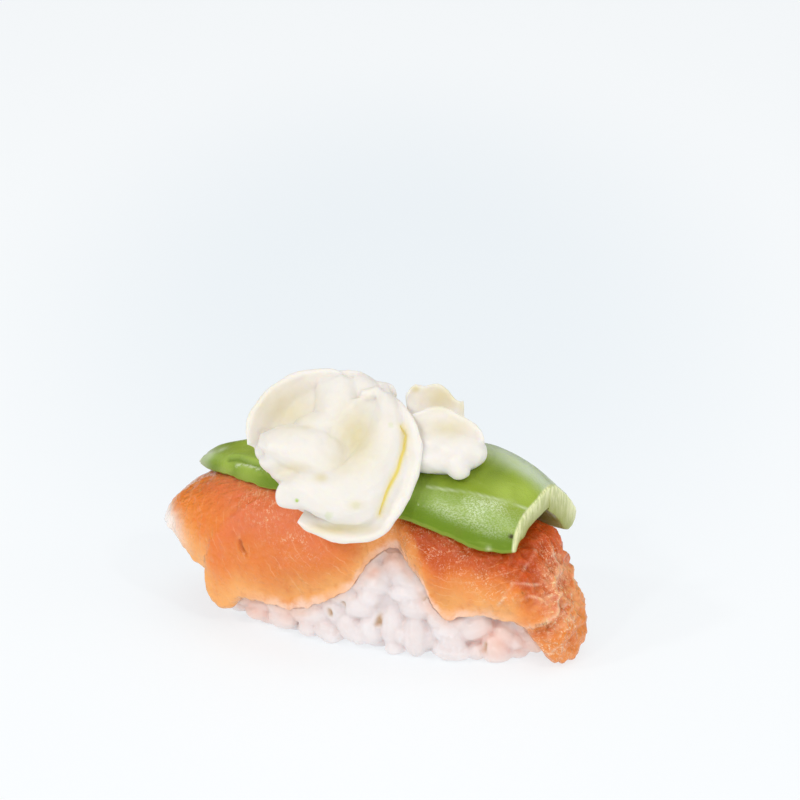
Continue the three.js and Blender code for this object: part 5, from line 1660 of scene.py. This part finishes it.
def formPlace(form, points):
    # which way round the form each point lies, and its level: 1 on the surface, more outside it
    planPower = form["planPower"]
    deep = points[:, 1] / form["halfWidth"]
    reach = np.where(points[:, 0] > 0, form["reachRight"], form["reachLeft"])
    for _ in range(2):
        across = np.abs(points[:, 0] / reach)
        across = across / (across**planPower + np.abs(deep) ** planPower + 1e-9) ** (1 / planPower)
        share = rightShare(np.sign(points[:, 0]) * across)
        reach = mix(form["reachLeft"], form["reachRight"], share)
    lengthwise = points[:, 0] / reach
    direction = np.arctan2(signedPower(deep, planPower / 2), signedPower(lengthwise, planPower / 2))
    out = (np.abs(lengthwise) ** planPower + np.abs(deep) ** planPower) ** (1 / planPower)
    power = mix(*sectionPowers, share)
    return direction, (out**power + np.abs(points[:, 2] / form["height"]) ** power) ** (1 / power)


def stickTogether(scattered, material):
    # cooked grains cling: their skins run into each other and the middle of the block
    core, coreFaces = coreSkin()
    points, tones, offset = [core], [np.full(len(core), 0.3)], len(core)
    polygons = [tuple(dict.fromkeys(f)) for f in coreFaces.tolist()]
    for index, (*ends, width) in enumerate(frontGrains):
        here, faces = grainAcross(ends[:3], ends[3:], width)
        here[:, 2] = np.maximum(here[:, 2], riceLook["floorGap"])
        points.append(here)
        tones.append(np.full(len(here), (index * 0.37) % 1.0))
        polygons += [tuple(v + offset for v in face) for face in faces]
        offset += len(here)
    here = meshPoints(scattered)
    here[:, 2] = np.maximum(here[:, 2], riceLook["floorGap"])
    tone = np.zeros(len(here), np.float32)
    scattered.attributes["grainTone"].data.foreach_get("value", tone)
    points.append(here)
    tones.append(tone)
    polygons += [tuple(v + offset for v in face.vertices) for face in scattered.polygons]
    points, tones = np.vstack(points), np.concatenate(tones)
    skin, faces = fuseSkins(points, polygons, riceLook["voxel"])
    finder = finderOf(points)
    nearest = np.array([finder.find(point)[1] for point in skin.tolist()])
    edges, degree = edgesOf(faces, len(skin))
    for _ in range(riceLook["smoothings"]):
        skin = mix(skin, neighbourMean(skin, edges, degree), 0.6)
    underSalmon = salmonCover(skin)
    # gaps between grains, sunk here and painted with shade in the finish
    shadedGap = np.zeros(len(skin))
    for line, width in riceGaps:
        shadedGap = np.maximum(shadedGap, fading(lineDistance(skin, line)[0], width))
    skin = skin - pointNormals(skin, faces) * (riceLook["gapDepth"] * shadedGap)[:, None]
    # pressed level under the salmon, and swelling a little to meet its edge
    _, level = formPlace(sliceForm, skin)
    wanted = mix(1.016, 0.994, smooth(underSalmon, -0.1, 0.25))
    pressed = np.where(underSalmon > 0, 1.0, fading(underSalmon, 1.1))
    pressed *= smooth(level, 0.8, 0.88) * smooth(skin[:, 2], 0.3, 0.9)
    skin = skin * mix(1.0, np.minimum(wanted / level, 1.05), pressed)[:, None]
    masks = {
        "grainTone": tones[nearest],
        # next three: painted pink light with the oil's tint, painted shade in the gaps, and the salmon's painted
        # glow and film by its edge
        "pinkLightAndTint": patchShare(skin, pinkLightAndTintSpots),
        "shadedGap": shadedGap,
        "salmonGlowAndFilm": fading(np.minimum(underSalmon, 0), 1.3),
    }
    return makePiece("riceGrains", skin, faces, material, masks)


def finderOf(points):
    finder = KDTree(len(points))
    for k, point in enumerate(points.tolist()):
        finder.insert(point, k)
    finder.balance()
    return finder


def salmonCover(points):
    # how far under the salmon each point lies, less than 0 outside its edge
    direction, fall = salmonEdgeSteps(salmonLook["sides"])
    edge = finderOf(loafPoint(sliceForm, direction, fall, 0.2))
    far = np.array([edge.find(point)[2] for point in points.tolist()])
    facing, _ = formPlace(sliceForm, points)
    return np.where(points[:, 2] > edgeHeight(facing), far, -far)


def coreSkin():
    # the middle of the block
    sides, rows = 120, 40
    direction = np.linspace(0, 2 * math.pi, sides, endpoint=False)
    rings = []
    for fall in np.linspace(0, math.pi / 2, rows + 1)[1:]:
        height = riceForm["height"] * math.cos(fall)
        inset = mix(riceLook["footInset"], riceLook["coreInset"], smooth(height, 0.8, 4.0))
        rings.append(loafPoint(riceForm, direction, np.full(sides, fall), -inset))
    for share in (0.9, 0.6, 0.3):
        rings.append(rings[rows - 1] * [share, share, 0] + [0, 0, 0.3])
    rings[rows - 1] = rings[rows - 1] + [0, 0, 0.3]
    points, faces = closedSkin(np.array(rings))
    bumps = 0.5 * softNoise(points, 2.6, 41)
    normals = pointNormals(points, faces)
    points = points + normals * (bumps * smooth(points[:, 2], 0.4, 2.0))[:, None]
    return points, faces


ricePiece = makeRice()
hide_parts("rice")
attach(ricePiece, "root")
